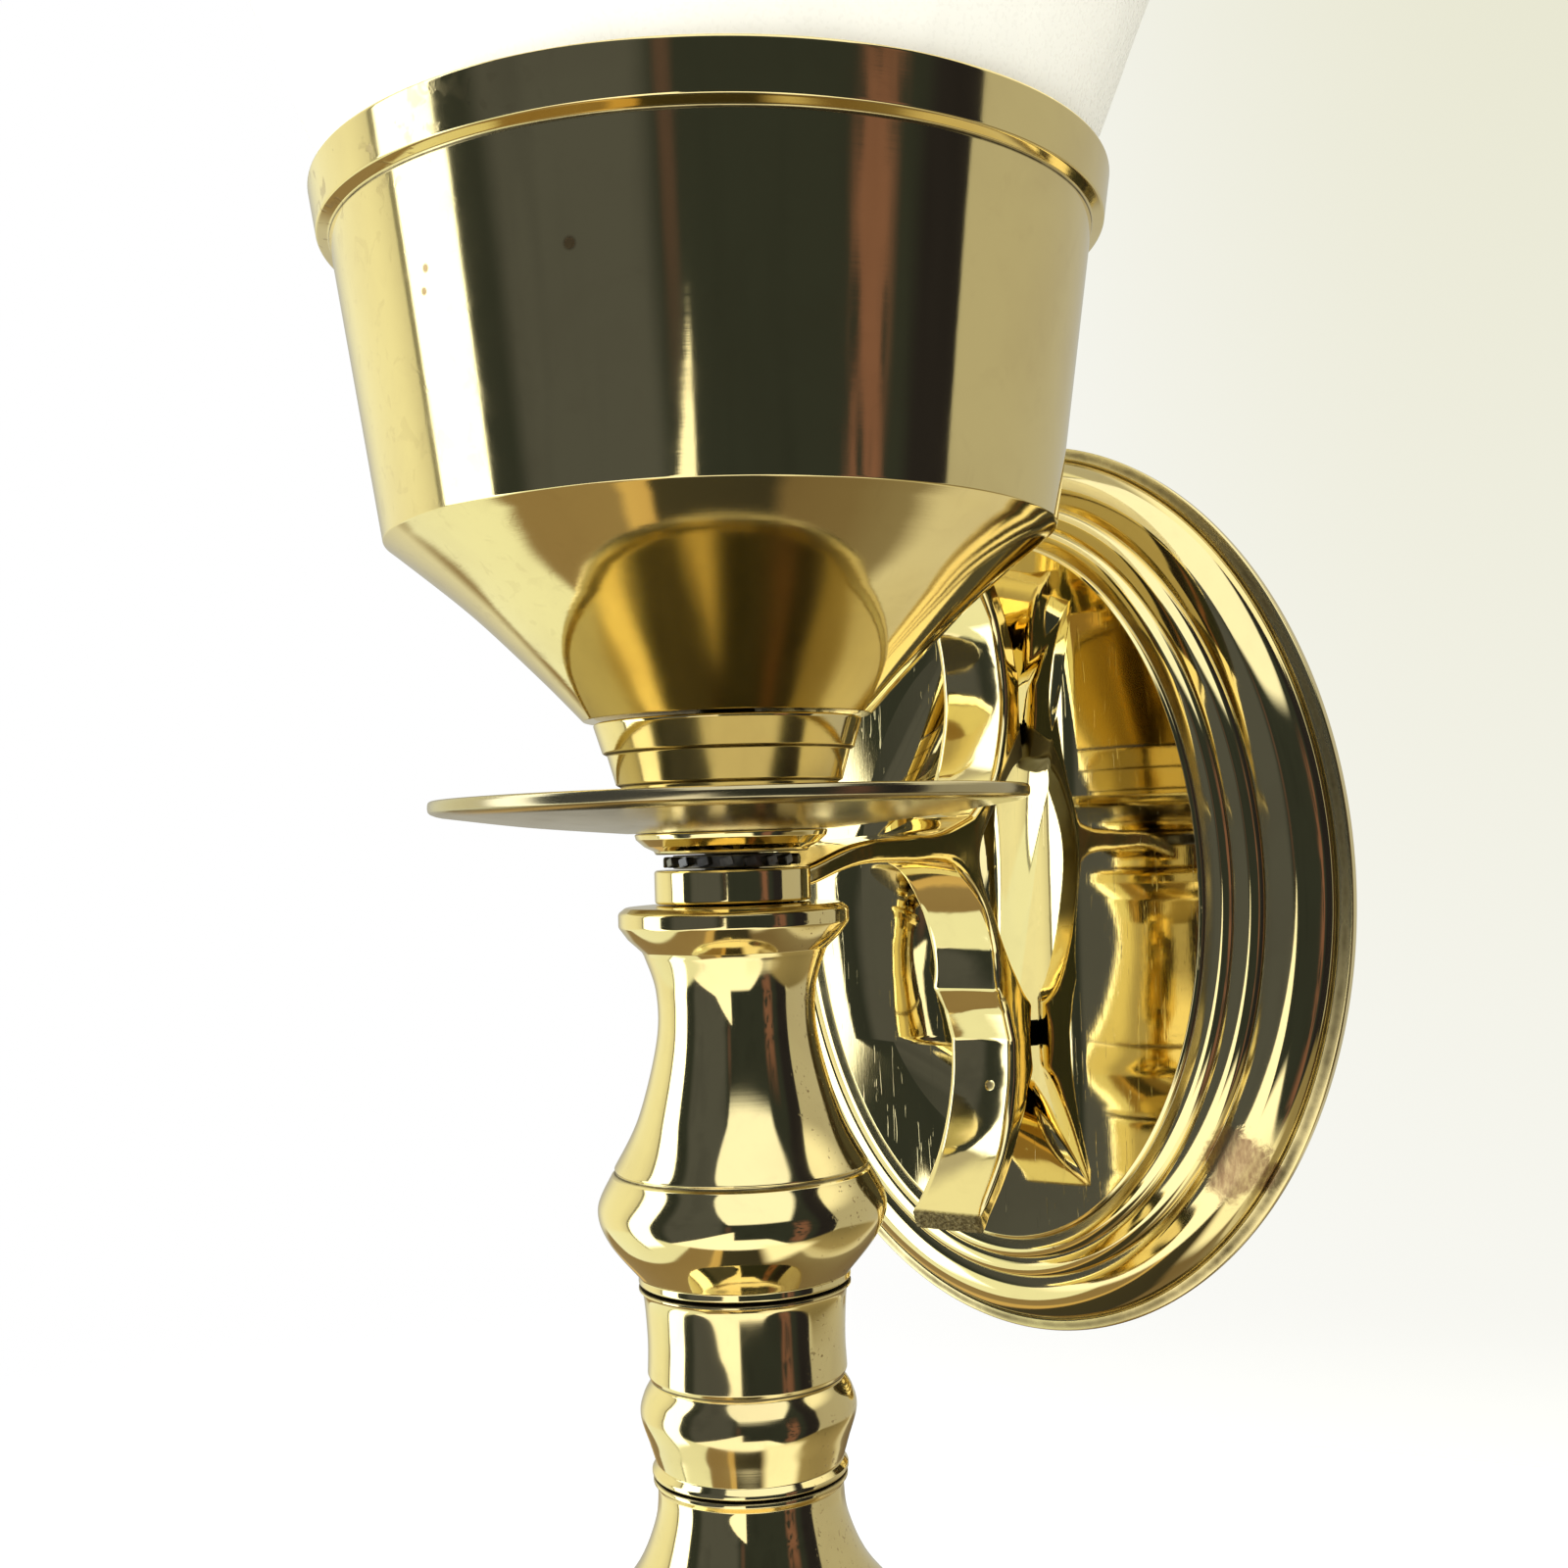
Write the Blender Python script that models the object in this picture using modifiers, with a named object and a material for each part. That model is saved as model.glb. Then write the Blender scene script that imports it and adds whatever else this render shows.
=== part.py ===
"""Brass wall sconce: an oval plate, a wishbone bracket and a turned candlestick with a glass shade.

The frame: the origin is the centre of the plate's wall side, +Z is up, and the
candlestick stands out along -Y. Profiles are given in millimetres as (radius, height).
"""

import math

import bmesh
import bpy

MM = 0.001

# Driving dimensions, in millimetres
PLATE_HALF_WIDTH = 47.0
PLATE_HALF_HEIGHT = 63.5
PLATE_DEPTH = 11.2
PLATE_WALL = 1.7
REACH = 76.0
ARM_WIDTH = 10.0
EYE_RADIUS = 8.6
EYE_TOP = 4.9
EYE_BOTTOM = 1.2
ROD_RADIUS = 3.0
ROD_BORE = 3.4
RIM_RADIUS = 43.7
RIM_HEIGHT = 79.0
PAN_RADIUS = 32.8
CANDLE_BORE = 11.2
SHADE_TOP = 234.0
SHADE_WALL = 2.2
FOOT_RADIUS = 26.0
FINIAL_BOTTOM = -108.0
SCREW_HEIGHTS = (22.5, -20.5)
SCREW_RADIUS = 1.9
SCREW_BORE = 2.3
GAP = 0.3

ROUND = 28
SMALL_ROUND = 20
OVAL_STEPS = 40


def clear_scene():
    for old in list(bpy.data.objects):
        bpy.data.objects.remove(old, do_unlink=True)


def new_collection(name):
    collection = bpy.data.collections.new(name)
    bpy.context.scene.collection.children.link(collection)
    return collection


def make_material(name, colour, roughness, metallic):
    material = bpy.data.materials.new(name)
    material.use_nodes = True
    shader = material.node_tree.nodes["Principled BSDF"]
    shader.inputs["Base Color"].default_value = (*colour, 1.0)
    shader.inputs["Roughness"].default_value = roughness
    shader.inputs["Metallic"].default_value = metallic
    return material


def between(before, start, end, after, t):
    """The value a share t of the way from start to end, on a smooth curve through all four."""
    slope = end - before
    bend = 2 * before - 5 * start + 4 * end - after
    twist = 3 * start - before - 3 * end + after
    return start + 0.5 * t * (slope + t * (bend + t * twist))


def curve(points, steps=2):
    """Points on a smooth curve through the given ones, its two ends included."""
    ends = [points[0], *points, points[-1]]
    found = []
    for corners in zip(ends, ends[1:], ends[2:], ends[3:]):
        for step in range(steps):
            found.append(tuple(between(*values, step / steps) for values in zip(*corners)))
    return [*found, points[-1]]


def place(obj, collection, material):
    collection.objects.link(obj)
    obj.data.materials.append(material)
    return obj


def turned(name, profile, material, segments=ROUND):
    """A turned piece on the candlestick's axis. The profile runs down the outer side."""
    mesh = bpy.data.meshes.new(name)
    solid = profile[0][0] == 0
    count = len(profile)
    edges = [(i, i + 1) for i in range(count - 1)]
    if not solid:
        edges.append((count - 1, 0))
    mesh.from_pydata([(r * MM, 0, z * MM) for r, z in profile], edges, [])
    obj = place(bpy.data.objects.new(name, mesh), PARTS, material)
    obj.parent = CANDLESTICK_AXIS
    screw = obj.modifiers.new("Turn", "SCREW")
    screw.axis = "Z"
    screw.steps = screw.render_steps = segments
    screw.use_merge_vertices = True
    screw.merge_threshold = 0.00001
    screw.use_smooth_shade = True
    return obj


def extruded(name, outline, half_width, material):
    """A flat outline of (y, z) points, extruded along X to both sides of the middle."""
    mesh = bpy.data.meshes.new(name)
    shape = bmesh.new()
    corners = [shape.verts.new((-half_width * MM, y * MM, z * MM)) for y, z in outline]
    side = shape.faces.new(corners)
    pushed = bmesh.ops.extrude_face_region(shape, geom=[side])["geom"]
    moved = [item for item in pushed if isinstance(item, bmesh.types.BMVert)]
    bmesh.ops.translate(shape, verts=moved, vec=(2 * half_width * MM, 0, 0))
    bmesh.ops.recalc_face_normals(shape, faces=shape.faces)
    shape.to_mesh(mesh)
    shape.free()
    return place(bpy.data.objects.new(name, mesh), PARTS, material)


def cylinder(name, radius, start, end, material, segments=SMALL_ROUND, tool=None):
    """A plain cylinder between two points that lie on one line along an axis."""
    mesh = bpy.data.meshes.new(name)
    shape = bmesh.new()
    length = math.dist(start, end)
    bmesh.ops.create_cone(
        shape,
        cap_ends=True,
        segments=segments,
        radius1=radius * MM,
        radius2=radius * MM,
        depth=length * MM,
    )
    shape.to_mesh(mesh)
    shape.free()
    obj = place(bpy.data.objects.new(name, mesh), tool or PARTS, material)
    if start[1] != end[1]:
        obj.rotation_euler.x = math.pi / 2
    obj.location = [(a + b) / 2 * MM for a, b in zip(start, end)]
    return obj


def boolean(obj, other, operation):
    """Cuts the other object from this one, or joins it to this one."""
    modifier = obj.modifiers.new(other.name, "BOOLEAN")
    modifier.operation = operation
    modifier.solver = "EXACT"
    modifier.object = other
    other.hide_render = True
    other.display_type = "WIRE"


# Wall side


def oval_ring(shape, inset, height):
    """One ring of the plate's shell, inset from its outline and raised off the wall."""
    wide = PLATE_HALF_WIDTH - inset
    tall = PLATE_HALF_HEIGHT - 0.87 * inset
    ring = []
    for step in range(OVAL_STEPS):
        angle = 2 * math.pi * step / OVAL_STEPS
        spot = (wide * math.cos(angle) * MM, -height * MM, tall * math.sin(angle) * MM)
        ring.append(shape.verts.new(spot))
    return ring


def wall_plate(material):
    """A cast oval shell: a flat border, a wide swelling band, two narrow steps and a flat."""
    flat_inset = 17.3
    back = PLATE_DEPTH - PLATE_WALL
    inside = [(flat_inset + 0.8, back), (13.4, 7.4), (9.4, 5.3), (4.6, 3.0), (1.9, 0.0)]
    border = [(0.0, 0.0), (0.0, 1.8), (1.8, 2.2)]
    band = [(2.1, 2.0), (3.4, 4.3), (5.6, 6.2), (8.2, 6.9), (9.8, 7.0)]
    steps = [(10.4, 8.0), (12.8, 9.0), (13.5, 9.1), (14.1, 10.0), (16.8, 10.5)]
    front = [(flat_inset, PLATE_DEPTH)]
    shape = bmesh.new()
    rings = [oval_ring(shape, *station) for station in inside + border + band + steps + front]
    for first, second in zip(rings, rings[1:]):
        for here in range(len(first)):
            there = (here + 1) % len(first)
            shape.faces.new((first[here], first[there], second[there], second[here]))
    shape.faces.new(rings[0])
    shape.faces.new(rings[-1])
    bmesh.ops.recalc_face_normals(shape, faces=shape.faces)
    mesh = bpy.data.meshes.new("wall_plate")
    shape.to_mesh(mesh)
    shape.free()
    plate = place(bpy.data.objects.new("wall_plate", mesh), PARTS, material)
    for height in SCREW_HEIGHTS:
        ends = (0, -PLATE_DEPTH - 3, height), (0, -PLATE_DEPTH + 5, height)
        hole = cylinder(f"plate_hole_{height:+.0f}", SCREW_BORE, *ends, material, tool=TOOLS)
        boolean(plate, hole, "DIFFERENCE")
    return plate


def hanger_strap(material):
    """A bent strap behind the plate: its middle lies on the wall, its ends on the plate."""
    thick = 1.5
    seat = PLATE_DEPTH - PLATE_WALL - GAP
    top, bottom = SCREW_HEIGHTS
    bends = [(0, bottom + 8.0), (seat - thick, bottom + 4.8), (seat - thick, bottom - 4.8)]
    bends_up = [(seat - thick, top + 5.0), (seat - thick, top - 4.5), (0, top - 7.5)]
    outer = [(-y, z) for y, z in bends_up + bends]
    far = [(seat, bottom - 4.8), (seat, bottom + 6.0), (thick, bottom + 8.6)]
    far_up = [(thick, top - 8.1), (seat, top - 5.7), (seat, top + 5.0)]
    inner = [(-y, z) for y, z in far + far_up]
    strap = extruded("hanger_strap", outer + inner, 7.0, material)
    keyhole, slot_top = 6.4, 10.6
    hole = cylinder("keyhole_entry", 3.9, (0, -3, keyhole), (0, 2, keyhole), material, tool=TOOLS)
    slot = cylinder("keyhole_slot", 2.1, (0, -4, slot_top), (0, 3, slot_top), material, 16, TOOLS)
    for cutter in (hole, slot):
        boolean(strap, cutter, "DIFFERENCE")
    for height in SCREW_HEIGHTS:
        ends = (0, -seat - 3, height), (0, -seat + 4, height)
        cutter = cylinder(f"strap_hole_{height:+.0f}", SCREW_BORE, *ends, material, tool=TOOLS)
        boolean(strap, cutter, "DIFFERENCE")
    return strap


def foot_fasteners(material):
    """The two screws that pass through the strap and the plate into the bracket's feet."""
    washer_back = PLATE_DEPTH - PLATE_WALL - GAP - 1.5 - GAP
    washer_thick = 0.8
    head_front = washer_back - washer_thick - GAP
    for place_name, height in zip(("upper", "lower"), SCREW_HEIGHTS):
        ends = (0, -washer_back, height), (0, -washer_back + washer_thick, height)
        washer = cylinder(f"{place_name}_foot_washer", 4.1, *ends, material)
        ends = (0, -washer_back - 2, height), (0, -washer_back + 3, height)
        cutter = cylinder(f"{place_name}_washer_hole", SCREW_BORE, *ends, material, tool=TOOLS)
        boolean(washer, cutter, "DIFFERENCE")
        ends = (0, -head_front, height), (0, -head_front + 2.4, height)
        screw = cylinder(f"{place_name}_foot_screw", 3.7, *ends, material)
        ends = (0, -head_front + 1, height), (0, -15.2, height)
        shank = cylinder(f"{place_name}_shank", SCREW_RADIUS, *ends, material, 16, TOOLS)
        boolean(screw, shank, "UNION")


def bracket_arm(material):
    """The wishbone: a strap from the eye that splits into two branches, each with a foot."""
    foot = PLATE_DEPTH + GAP
    top = curve([(-72, 4.2), (-66, 5.2), (-56, 7.3), (-43, 7.9), (-34.4, 8.4), (-26.7, 10.3)], 2)
    upper_bow = [(-26.7, 10.3), (-20.6, 14.6), (-17.2, 21), (-16.2, 28), (-18.5, 36.4), (-25.6, 44.2)]
    upper_front = curve(upper_bow)
    upper_tip = [(-24.7, 45.8), (-22.4, 45.5)]
    upper_back = curve([(-22.4, 45.5), (-17.6, 41.6), (-13.6, 35.6), (-foot, 29)], 2)
    gap_edge = curve([(-foot, 18.2), (-17.6, 13.4), (-24.9, 4.8), (-20.4, -5), (-foot, -16.0)])
    lower_back = curve([(-foot, -25), (-14.8, -31.5), (-21.2, -38.8), (-28.4, -44.2)], 2)
    lower_tip = [(-29.4, -42.0)]
    lower_front = curve([(-29.4, -42.0), (-21.9, -35), (-18.2, -27), (-17.4, -20.7)], 2)
    creases = [(-19.2, -16.4), (-21.4, -13.1)]
    root = curve([(-21.4, -13.1), (-21.8, -7.5), (-25.6, -0.8), (-33.0, 3.9), (-43, 4.5)], 2)
    under = curve([(-43, 4.5), (-56, 4.5), (-66, 2.7), (-74, 1.5)], 2)
    outline = (
        top[:-1]
        + upper_front[:-1]
        + upper_tip[:-1]
        + upper_back
        + gap_edge
        + lower_back
        + lower_tip[:-1]
        + lower_front
        + creases[:-1]
        + root[:-1]
        + under
    )
    arm = extruded("bracket_arm", outline, ARM_WIDTH / 2, material)
    ends = (0, -REACH, EYE_BOTTOM), (0, -REACH, EYE_TOP)
    boolean(arm, cylinder("eye", EYE_RADIUS, *ends, material, 24, TOOLS), "UNION")
    ends = (0, -REACH, EYE_BOTTOM - 4), (0, -REACH, EYE_TOP + 4)
    boolean(arm, cylinder("eye_bore", ROD_BORE + 0.1, *ends, material, 24, TOOLS), "DIFFERENCE")
    for height in SCREW_HEIGHTS:
        ends = (0, -foot + 3, height), (0, -15.6, height)
        cutter = cylinder(f"tapped_hole_{height:+.0f}", SCREW_BORE, *ends, material, 16, TOOLS)
        boolean(arm, cutter, "DIFFERENCE")
    return arm


# Candlestick, from the shade down to the finial


def glass_shade(material):
    """A hurricane shade: it flares out of the cup, swells and closes again."""
    outer = [(40.2, SHADE_TOP), (38.4, 222), (41.0, 200), (48.6, 172), (55.2, 148), (56.0, 128)]
    outer += [(52.6, 109), (46.4, 92.5), (41.3, 79), (37.0, 61), (34.4, 44.2)]
    inner = [(radius - SHADE_WALL, height) for radius, height in reversed(outer)]
    turned("glass_shade", outer + inner, material)


def cup(material):
    """The spun cup: a proud rim band, a tapering drum and a cone that closes to its floor."""
    wall = 1.3
    band = [(RIM_RADIUS - 1.6, RIM_HEIGHT), (RIM_RADIUS, RIM_HEIGHT - 0.5), (42.95, 73.6)]
    drum = [(41.6, 73.1), (36.8, 41.0)]
    cone = curve([(35.9, 40.3), (27.9, 33.6), (20.4, 26.2), (15.9, 21.4)], 2)
    floor = [(ROD_BORE, 21.4), (ROD_BORE, 21.4 + wall), (15.0, 21.4 + wall)]
    inner = [(19.4, 27.2), (27.0, 35.0), (35.3, 42.2), (37.6, 54), (38.9, 65), (40.8, 73)]
    turned("cup", band + drum + cone + floor + inner, material)


def shade_seat_felt(material):
    """A felt ring in the cup's corner, which keeps the glass off the brass."""
    turned("shade_seat_felt", [(34.9, 43.9), (34.9, 42.5), (31.2, 39.2), (31.2, 43.9)], material)


def candle_socket(material):
    """The cup for the candle's end, screwed on the rod's top, with a small drip lip."""
    seat, rim = 36.0, 60.0
    lip = [(CANDLE_BORE, rim), (15.4, rim), (15.6, rim - 0.7), (12.9, rim - 2.2)]
    body = [(12.6, 31), (11.2, 28.7), (ROD_BORE, 28.7), (ROD_BORE, 33.8)]
    core = [(1.2, 34.4), (1.2, seat), (CANDLE_BORE, seat)]
    turned("candle_socket", lip + body + core, material, SMALL_ROUND)


def stepped_neck(material):
    """A turned spacer of three shrinking rings between the cup and the drip pan."""
    rings = [(14.9, 21.1), (13.9, 17.8), (13.4, 17.6), (12.5, 14.3), (12.0, 14.1), (11.0, 10.9)]
    turned("stepped_neck", [(ROD_BORE, 21.1), *rings, (ROD_BORE, 10.9)], material, 24)


def drip_pan(material):
    """A thin dished disc with a low upright lip."""
    lip = [(PAN_RADIUS - 0.9, 13.1), (PAN_RADIUS, 13.0), (PAN_RADIUS, 11.9), (PAN_RADIUS - 0.8, 11.5)]
    under = [(22, 10.0), (11.5, 9.0), (ROD_BORE, 9.0)]
    over = [(ROD_BORE, 10.6), (12, 10.6), (22, 11.2), (PAN_RADIUS - 1.2, 12.4)]
    turned("drip_pan", lip + under + over, material)


def pan_hub(material):
    """A small stepped collar under the pan."""
    rings = [(10.7, 8.7), (10.6, 8.1), (8.9, 7.7), (8.4, 6.6)]
    turned("pan_hub", [(ROD_BORE, 8.7), *rings, (ROD_BORE, 6.6)], material, SMALL_ROUND)


def rod_and_nuts(material):
    """The rod that clamps the whole candlestick, with its nut, its washer and the eye's washer."""
    turned("centre_rod", [(0, 33.4), (ROD_RADIUS, 33.4), (ROD_RADIUS, -103.4), (0, -103.4)], material, 16)
    ring = [(ROD_BORE, 24.0), (8.6, 24.0), (8.6, 23.0), (ROD_BORE, 23.0)]
    turned("cup_washer", ring, material, SMALL_ROUND)
    nut = cylinder("cup_nut", 5.8, (0, -REACH, 24.3), (0, -REACH, 28.4), material, 6)
    ends = (0, -REACH, 22), (0, -REACH, 31)
    boolean(nut, cylinder("nut_bore", ROD_BORE, *ends, material, tool=TOOLS), "DIFFERENCE")
    ring = [(ROD_BORE, 6.3), (7.6, 6.3), (7.6, 5.2), (ROD_BORE, 5.2)]
    turned("eye_lock_washer", ring, material, SMALL_ROUND)


def stem(material):
    """Three turned sections stacked on the rod under the arm's eye."""
    ring = [(11.9, 0.9), (12.7, 0.3), (12.7, -1.2), (11.7, -2.6), (10.0, -4.4)]
    neck = curve([(10.0, -4.4), (8.8, -8.4), (8.9, -13.8), (11.1, -22), (13.9, -27.4)])
    groove = [(13.7, -27.8), (14.3, -28.1)]
    bulge = curve([(14.3, -28.1), (15.8, -31.6), (14.8, -35), (11.6, -39.0)], 2)
    foot = [(11.6, -39.9)]
    outline = ring + neck[1:] + groove + bulge[1:] + foot
    turned("upper_baluster", [(ROD_BORE, 0.9), *outline, (ROD_BORE, -39.9)], material, 24)

    ring = [(11.6, -40.2), (11.6, -40.8)]
    neck = [(11.1, -41.4), (10.8, -46), (10.9, -49.6)]
    bead = curve([(10.4, -50.6), (11.4, -52), (11.8, -54), (10.9, -57)], 2)
    foot = [(10.2, -59.4), (10.7, -59.9), (10.7, -60.4)]
    outline = ring + neck + bead + foot
    turned("middle_spindle", [(ROD_BORE, -40.2), *outline, (ROD_BORE, -60.4)], material, 24)

    ring = [(10.6, -60.7), (10.6, -61.2)]
    flare = curve([(10.1, -61.8), (10.5, -65.6), (12.6, -70.6), (16.4, -75.2), (21.6, -80.2)], 2)
    lip = [(25.0, -83.4), (FOOT_RADIUS, -84.6), (FOOT_RADIUS, -87.0), (FOOT_RADIUS - 1.8, -87.0)]
    hollow = [(FOOT_RADIUS - 2.2, -85.6), (19.4, -81.2), (13.6, -75.2), (ROD_BORE, -73.4)]
    outline = ring + flare + lip + hollow
    turned("trumpet_foot", [(ROD_BORE, -60.7), *outline], material)


def foot_cap_and_finial(material):
    """The cap that closes the trumpet foot and the finial that is the rod's bottom nut."""
    edge = [(25.2, -87.3), (25.2, -88.6)]
    dome = curve([(24.0, -89.2), (17, -90.4), (10.6, -91.4), (7.6, -92.6)], 2)
    turned("foot_cap", [(ROD_BORE, -87.3), *edge, *dome, (ROD_BORE, -92.6)], material)
    collar = [(7.2, -92.9), (7.2, -94.2), (4.6, -95.6)]
    tip = [(3.2, -105.6), (1.8, -106.6), (0, FINIAL_BOTTOM)]
    ball = curve([(4.6, -95.6), (6.4, -98.6), (6.2, -102.6), *tip], 2)
    thread = [(0, -103.8), (ROD_BORE, -103.8), (ROD_BORE, -92.9)]
    turned("finial", [*thread, *collar, *ball[1:]], material, SMALL_ROUND)


clear_scene()
PARTS = new_collection("wall_sconce")
TOOLS = new_collection("cutters")
TOOLS.hide_render = True

CANDLESTICK_AXIS = bpy.data.objects.new("candlestick_axis", None)
CANDLESTICK_AXIS.location = (0, -REACH * MM, 0)
PARTS.objects.link(CANDLESTICK_AXIS)

BRASS = make_material("polished_brass", (0.72, 0.55, 0.22), 0.12, 1.0)
STEEL = make_material("dark_steel", (0.16, 0.15, 0.13), 0.42, 1.0)
GLASS = make_material("opal_glass", (0.90, 0.89, 0.80), 0.3, 0.0)
FELT = make_material("felt", (0.10, 0.14, 0.09), 0.95, 0.0)

wall_plate(BRASS)
hanger_strap(STEEL)
foot_fasteners(STEEL)
bracket_arm(BRASS)
glass_shade(GLASS)
cup(BRASS)
shade_seat_felt(FELT)
candle_socket(BRASS)
stepped_neck(BRASS)
drip_pan(BRASS)
pan_hub(BRASS)
rod_and_nuts(STEEL)
stem(BRASS)
foot_cap_and_finial(BRASS)
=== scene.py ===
"""Brass wall sconce with a candlestick and an opal glass shade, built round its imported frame.

Profiles are in millimetres. A turned profile is a list of (radius, height) and the plate's is
a list of (inset from the outline, height off the wall).
"""

import math

import bmesh
import bpy
from bpy.props import FloatProperty, FloatVectorProperty, IntProperty, PointerProperty
from mathutils import Matrix, Vector, noise


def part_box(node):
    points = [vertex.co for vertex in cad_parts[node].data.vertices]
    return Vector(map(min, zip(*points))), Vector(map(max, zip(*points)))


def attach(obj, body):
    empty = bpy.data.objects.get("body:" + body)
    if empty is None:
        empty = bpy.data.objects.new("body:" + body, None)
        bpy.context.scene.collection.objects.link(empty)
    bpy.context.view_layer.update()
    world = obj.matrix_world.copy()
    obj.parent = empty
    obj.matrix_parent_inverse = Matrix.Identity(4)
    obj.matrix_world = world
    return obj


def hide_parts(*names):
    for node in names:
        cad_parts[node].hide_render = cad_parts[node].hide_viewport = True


bl_info = {
    "name": "Brass Wall Sconce",
    "version": (1, 0, 0),
    "blender": (4, 5, 0),
    "location": "3D View > Sidebar > Sconce",
    "description": "Builds a turned brass candle sconce with its plate, bracket and shade",
    "category": "Add Mesh",
}

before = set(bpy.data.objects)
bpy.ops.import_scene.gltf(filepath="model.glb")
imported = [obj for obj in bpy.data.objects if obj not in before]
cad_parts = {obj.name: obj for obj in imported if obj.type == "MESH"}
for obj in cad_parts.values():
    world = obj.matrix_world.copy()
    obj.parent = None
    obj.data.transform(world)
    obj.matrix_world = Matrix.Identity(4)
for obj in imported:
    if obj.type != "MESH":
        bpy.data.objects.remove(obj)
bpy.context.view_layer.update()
MM = 0.001
TAU = 2 * math.pi
PLATE_LOW, PLATE_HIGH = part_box("wall_plate")
PAN_LOW, PAN_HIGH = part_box("drip_pan")
REACH = -(PAN_LOW.y + PAN_HIGH.y) / 2 / MM
WALL_BODY, STICK_BODY, SHADE_BODY = "wall_bracket", "candlestick", "shade"
SCREW_HEIGHTS = (22.5, -20.5)
SCREW_BORE = 2.3
ROD_BORE = 3.4


# Settings


def length(name, description, default):
    return FloatProperty(name=name, description=description, default=default, unit="LENGTH")


def degrees(name, description, default):
    return FloatProperty(
        name=name, description=description, default=math.radians(default), subtype="ANGLE"
    )


def colour_of(name, description, default):
    return FloatVectorProperty(
        name=name, description=description, default=default, subtype="COLOR", size=3
    )


class SconcePlate(bpy.types.PropertyGroup):
    """Sizes of the oval wall plate."""

    half_width: length("Half width", "From the plate's middle to its side edge", PLATE_HIGH.x)
    half_height: length("Half height", "From the plate's middle to its top edge", PLATE_HIGH.z)
    squeeze: FloatProperty(
        name="Squeeze",
        description="How much less an inset takes off the height than off the width",
        default=0.87,
        subtype="FACTOR",
    )
    steps: IntProperty(
        name="Steps round", description="Number of faces round the oval", default=256
    )


class SconceTurning(bpy.types.PropertyGroup):
    """How finely the turned pieces are made."""

    segments: IntProperty(
        name="Segments", description="Number of faces round a turned piece", default=192
    )
    small_segments: IntProperty(
        name="Small segments", description="Number of faces round a small turned piece", default=96
    )


class SconceBracket(bpy.types.PropertyGroup):
    """Sizes of the cast bracket."""

    width: length("Width", "Width of the bracket's strap", 10 * MM)
    bevel: length("Bevel", "Radius of the bracket's long edges", 0.9 * MM)
    cupping: length("Cupping", "Depth of the hollow along the front of each branch", 0.3 * MM)
    waviness: length("Waviness", "How far hand filing moved the casting's faces", 0.14 * MM)


class SconceFinish(bpy.types.PropertyGroup):
    """Colours of the metals, the glass and the felt."""

    brass: colour_of("Brass", "Clean polished brass", (0.87, 0.72, 0.34))
    tarnish: colour_of("Tarnish", "Brass that has dulled with handling", (0.70, 0.55, 0.26))
    freckle: colour_of("Freckles", "Small spots of brown tarnish", (0.30, 0.19, 0.08))
    # Old polish and dirt, also used as painted shade in the grooves and creases.
    grime_and_shade: colour_of("Grime", "Old polish and dirt in the grooves", (0.12, 0.09, 0.04))
    steel: colour_of("Steel", "Darkened steel of the hidden fasteners", (0.26, 0.25, 0.23))
    glass: colour_of("Glass", "Opal white glass", (0.92, 0.90, 0.80))
    felt: colour_of("Felt", "Pressed green felt", (0.10, 0.15, 0.09))


class SconceStage(bpy.types.PropertyGroup):
    """The floor, the light and the camera."""

    floor_drop: length("Floor drop", "How far the floor lies under the middle of the plate", 0.42)
    lens: FloatProperty(
        name="Lens", description="Focal length in millimetres on a 36 mm sensor", default=41.74
    )
    camera_yaw: degrees(
        "Camera yaw", "How far the camera stands to the right of straight in front", 32.92
    )
    camera_pitch: degrees("Camera pitch", "How far the camera looks up", 1.71)
    camera_roll: degrees("Camera roll", "Turn of the camera about its own line of sight", -1.82)
    camera_place: FloatVectorProperty(
        name="Camera place",
        description="Where the camera stands",
        default=(0.1141, -0.2412, 0.0080),
        subtype="TRANSLATION",
        size=3,
    )


# Node helpers


class Value:
    """A number worked out by nodes: Python's operators on it add Math nodes."""

    def __init__(self, graph, socket):
        self.graph = graph
        self.socket = socket

    def math(self, operation, *others, clamp=False):
        settings = {"operation": operation, "use_clamp": clamp}
        values = dict(enumerate([self, *others]))
        return self.graph.value(f"{self.graph.kind}NodeMath", settings, values)

    def __add__(self, other):
        return self.math("ADD", other)

    def __radd__(self, other):
        return self.math("ADD", other)

    def __sub__(self, other):
        return self.math("SUBTRACT", other)

    def __rsub__(self, other):
        return (self * -1.0) + other

    def __mul__(self, other):
        return self.math("MULTIPLY", other)

    def __rmul__(self, other):
        return self.math("MULTIPLY", other)

    def __truediv__(self, other):
        return self.math("DIVIDE", other)

    def __neg__(self):
        return self * -1.0

    def __pow__(self, other):
        return self.math("POWER", other)

    def __abs__(self):
        return self.math("ABSOLUTE")

    def ramp(self, low, high):
        """0 up to low, 1 from high on, and smooth between."""
        settings = {"interpolation_type": "SMOOTHSTEP"}
        values = {"Value": self, "From Min": low, "From Max": high}
        return self.graph.value("ShaderNodeMapRange", settings, values, "Result")

    def inside(self, low, high, soft):
        """1 between low and high, with edges that are soft wide."""
        return self.ramp(low - soft, low + soft) * (1.0 - self.ramp(high - soft, high + soft))

    def near(self, place, width):
        """1 at the place, down to 0 at a width from it."""
        return 1.0 - abs(self - place).ramp(0.0, width)

    def limit(self):
        return self.math("ADD", 0.0, clamp=True)


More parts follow.
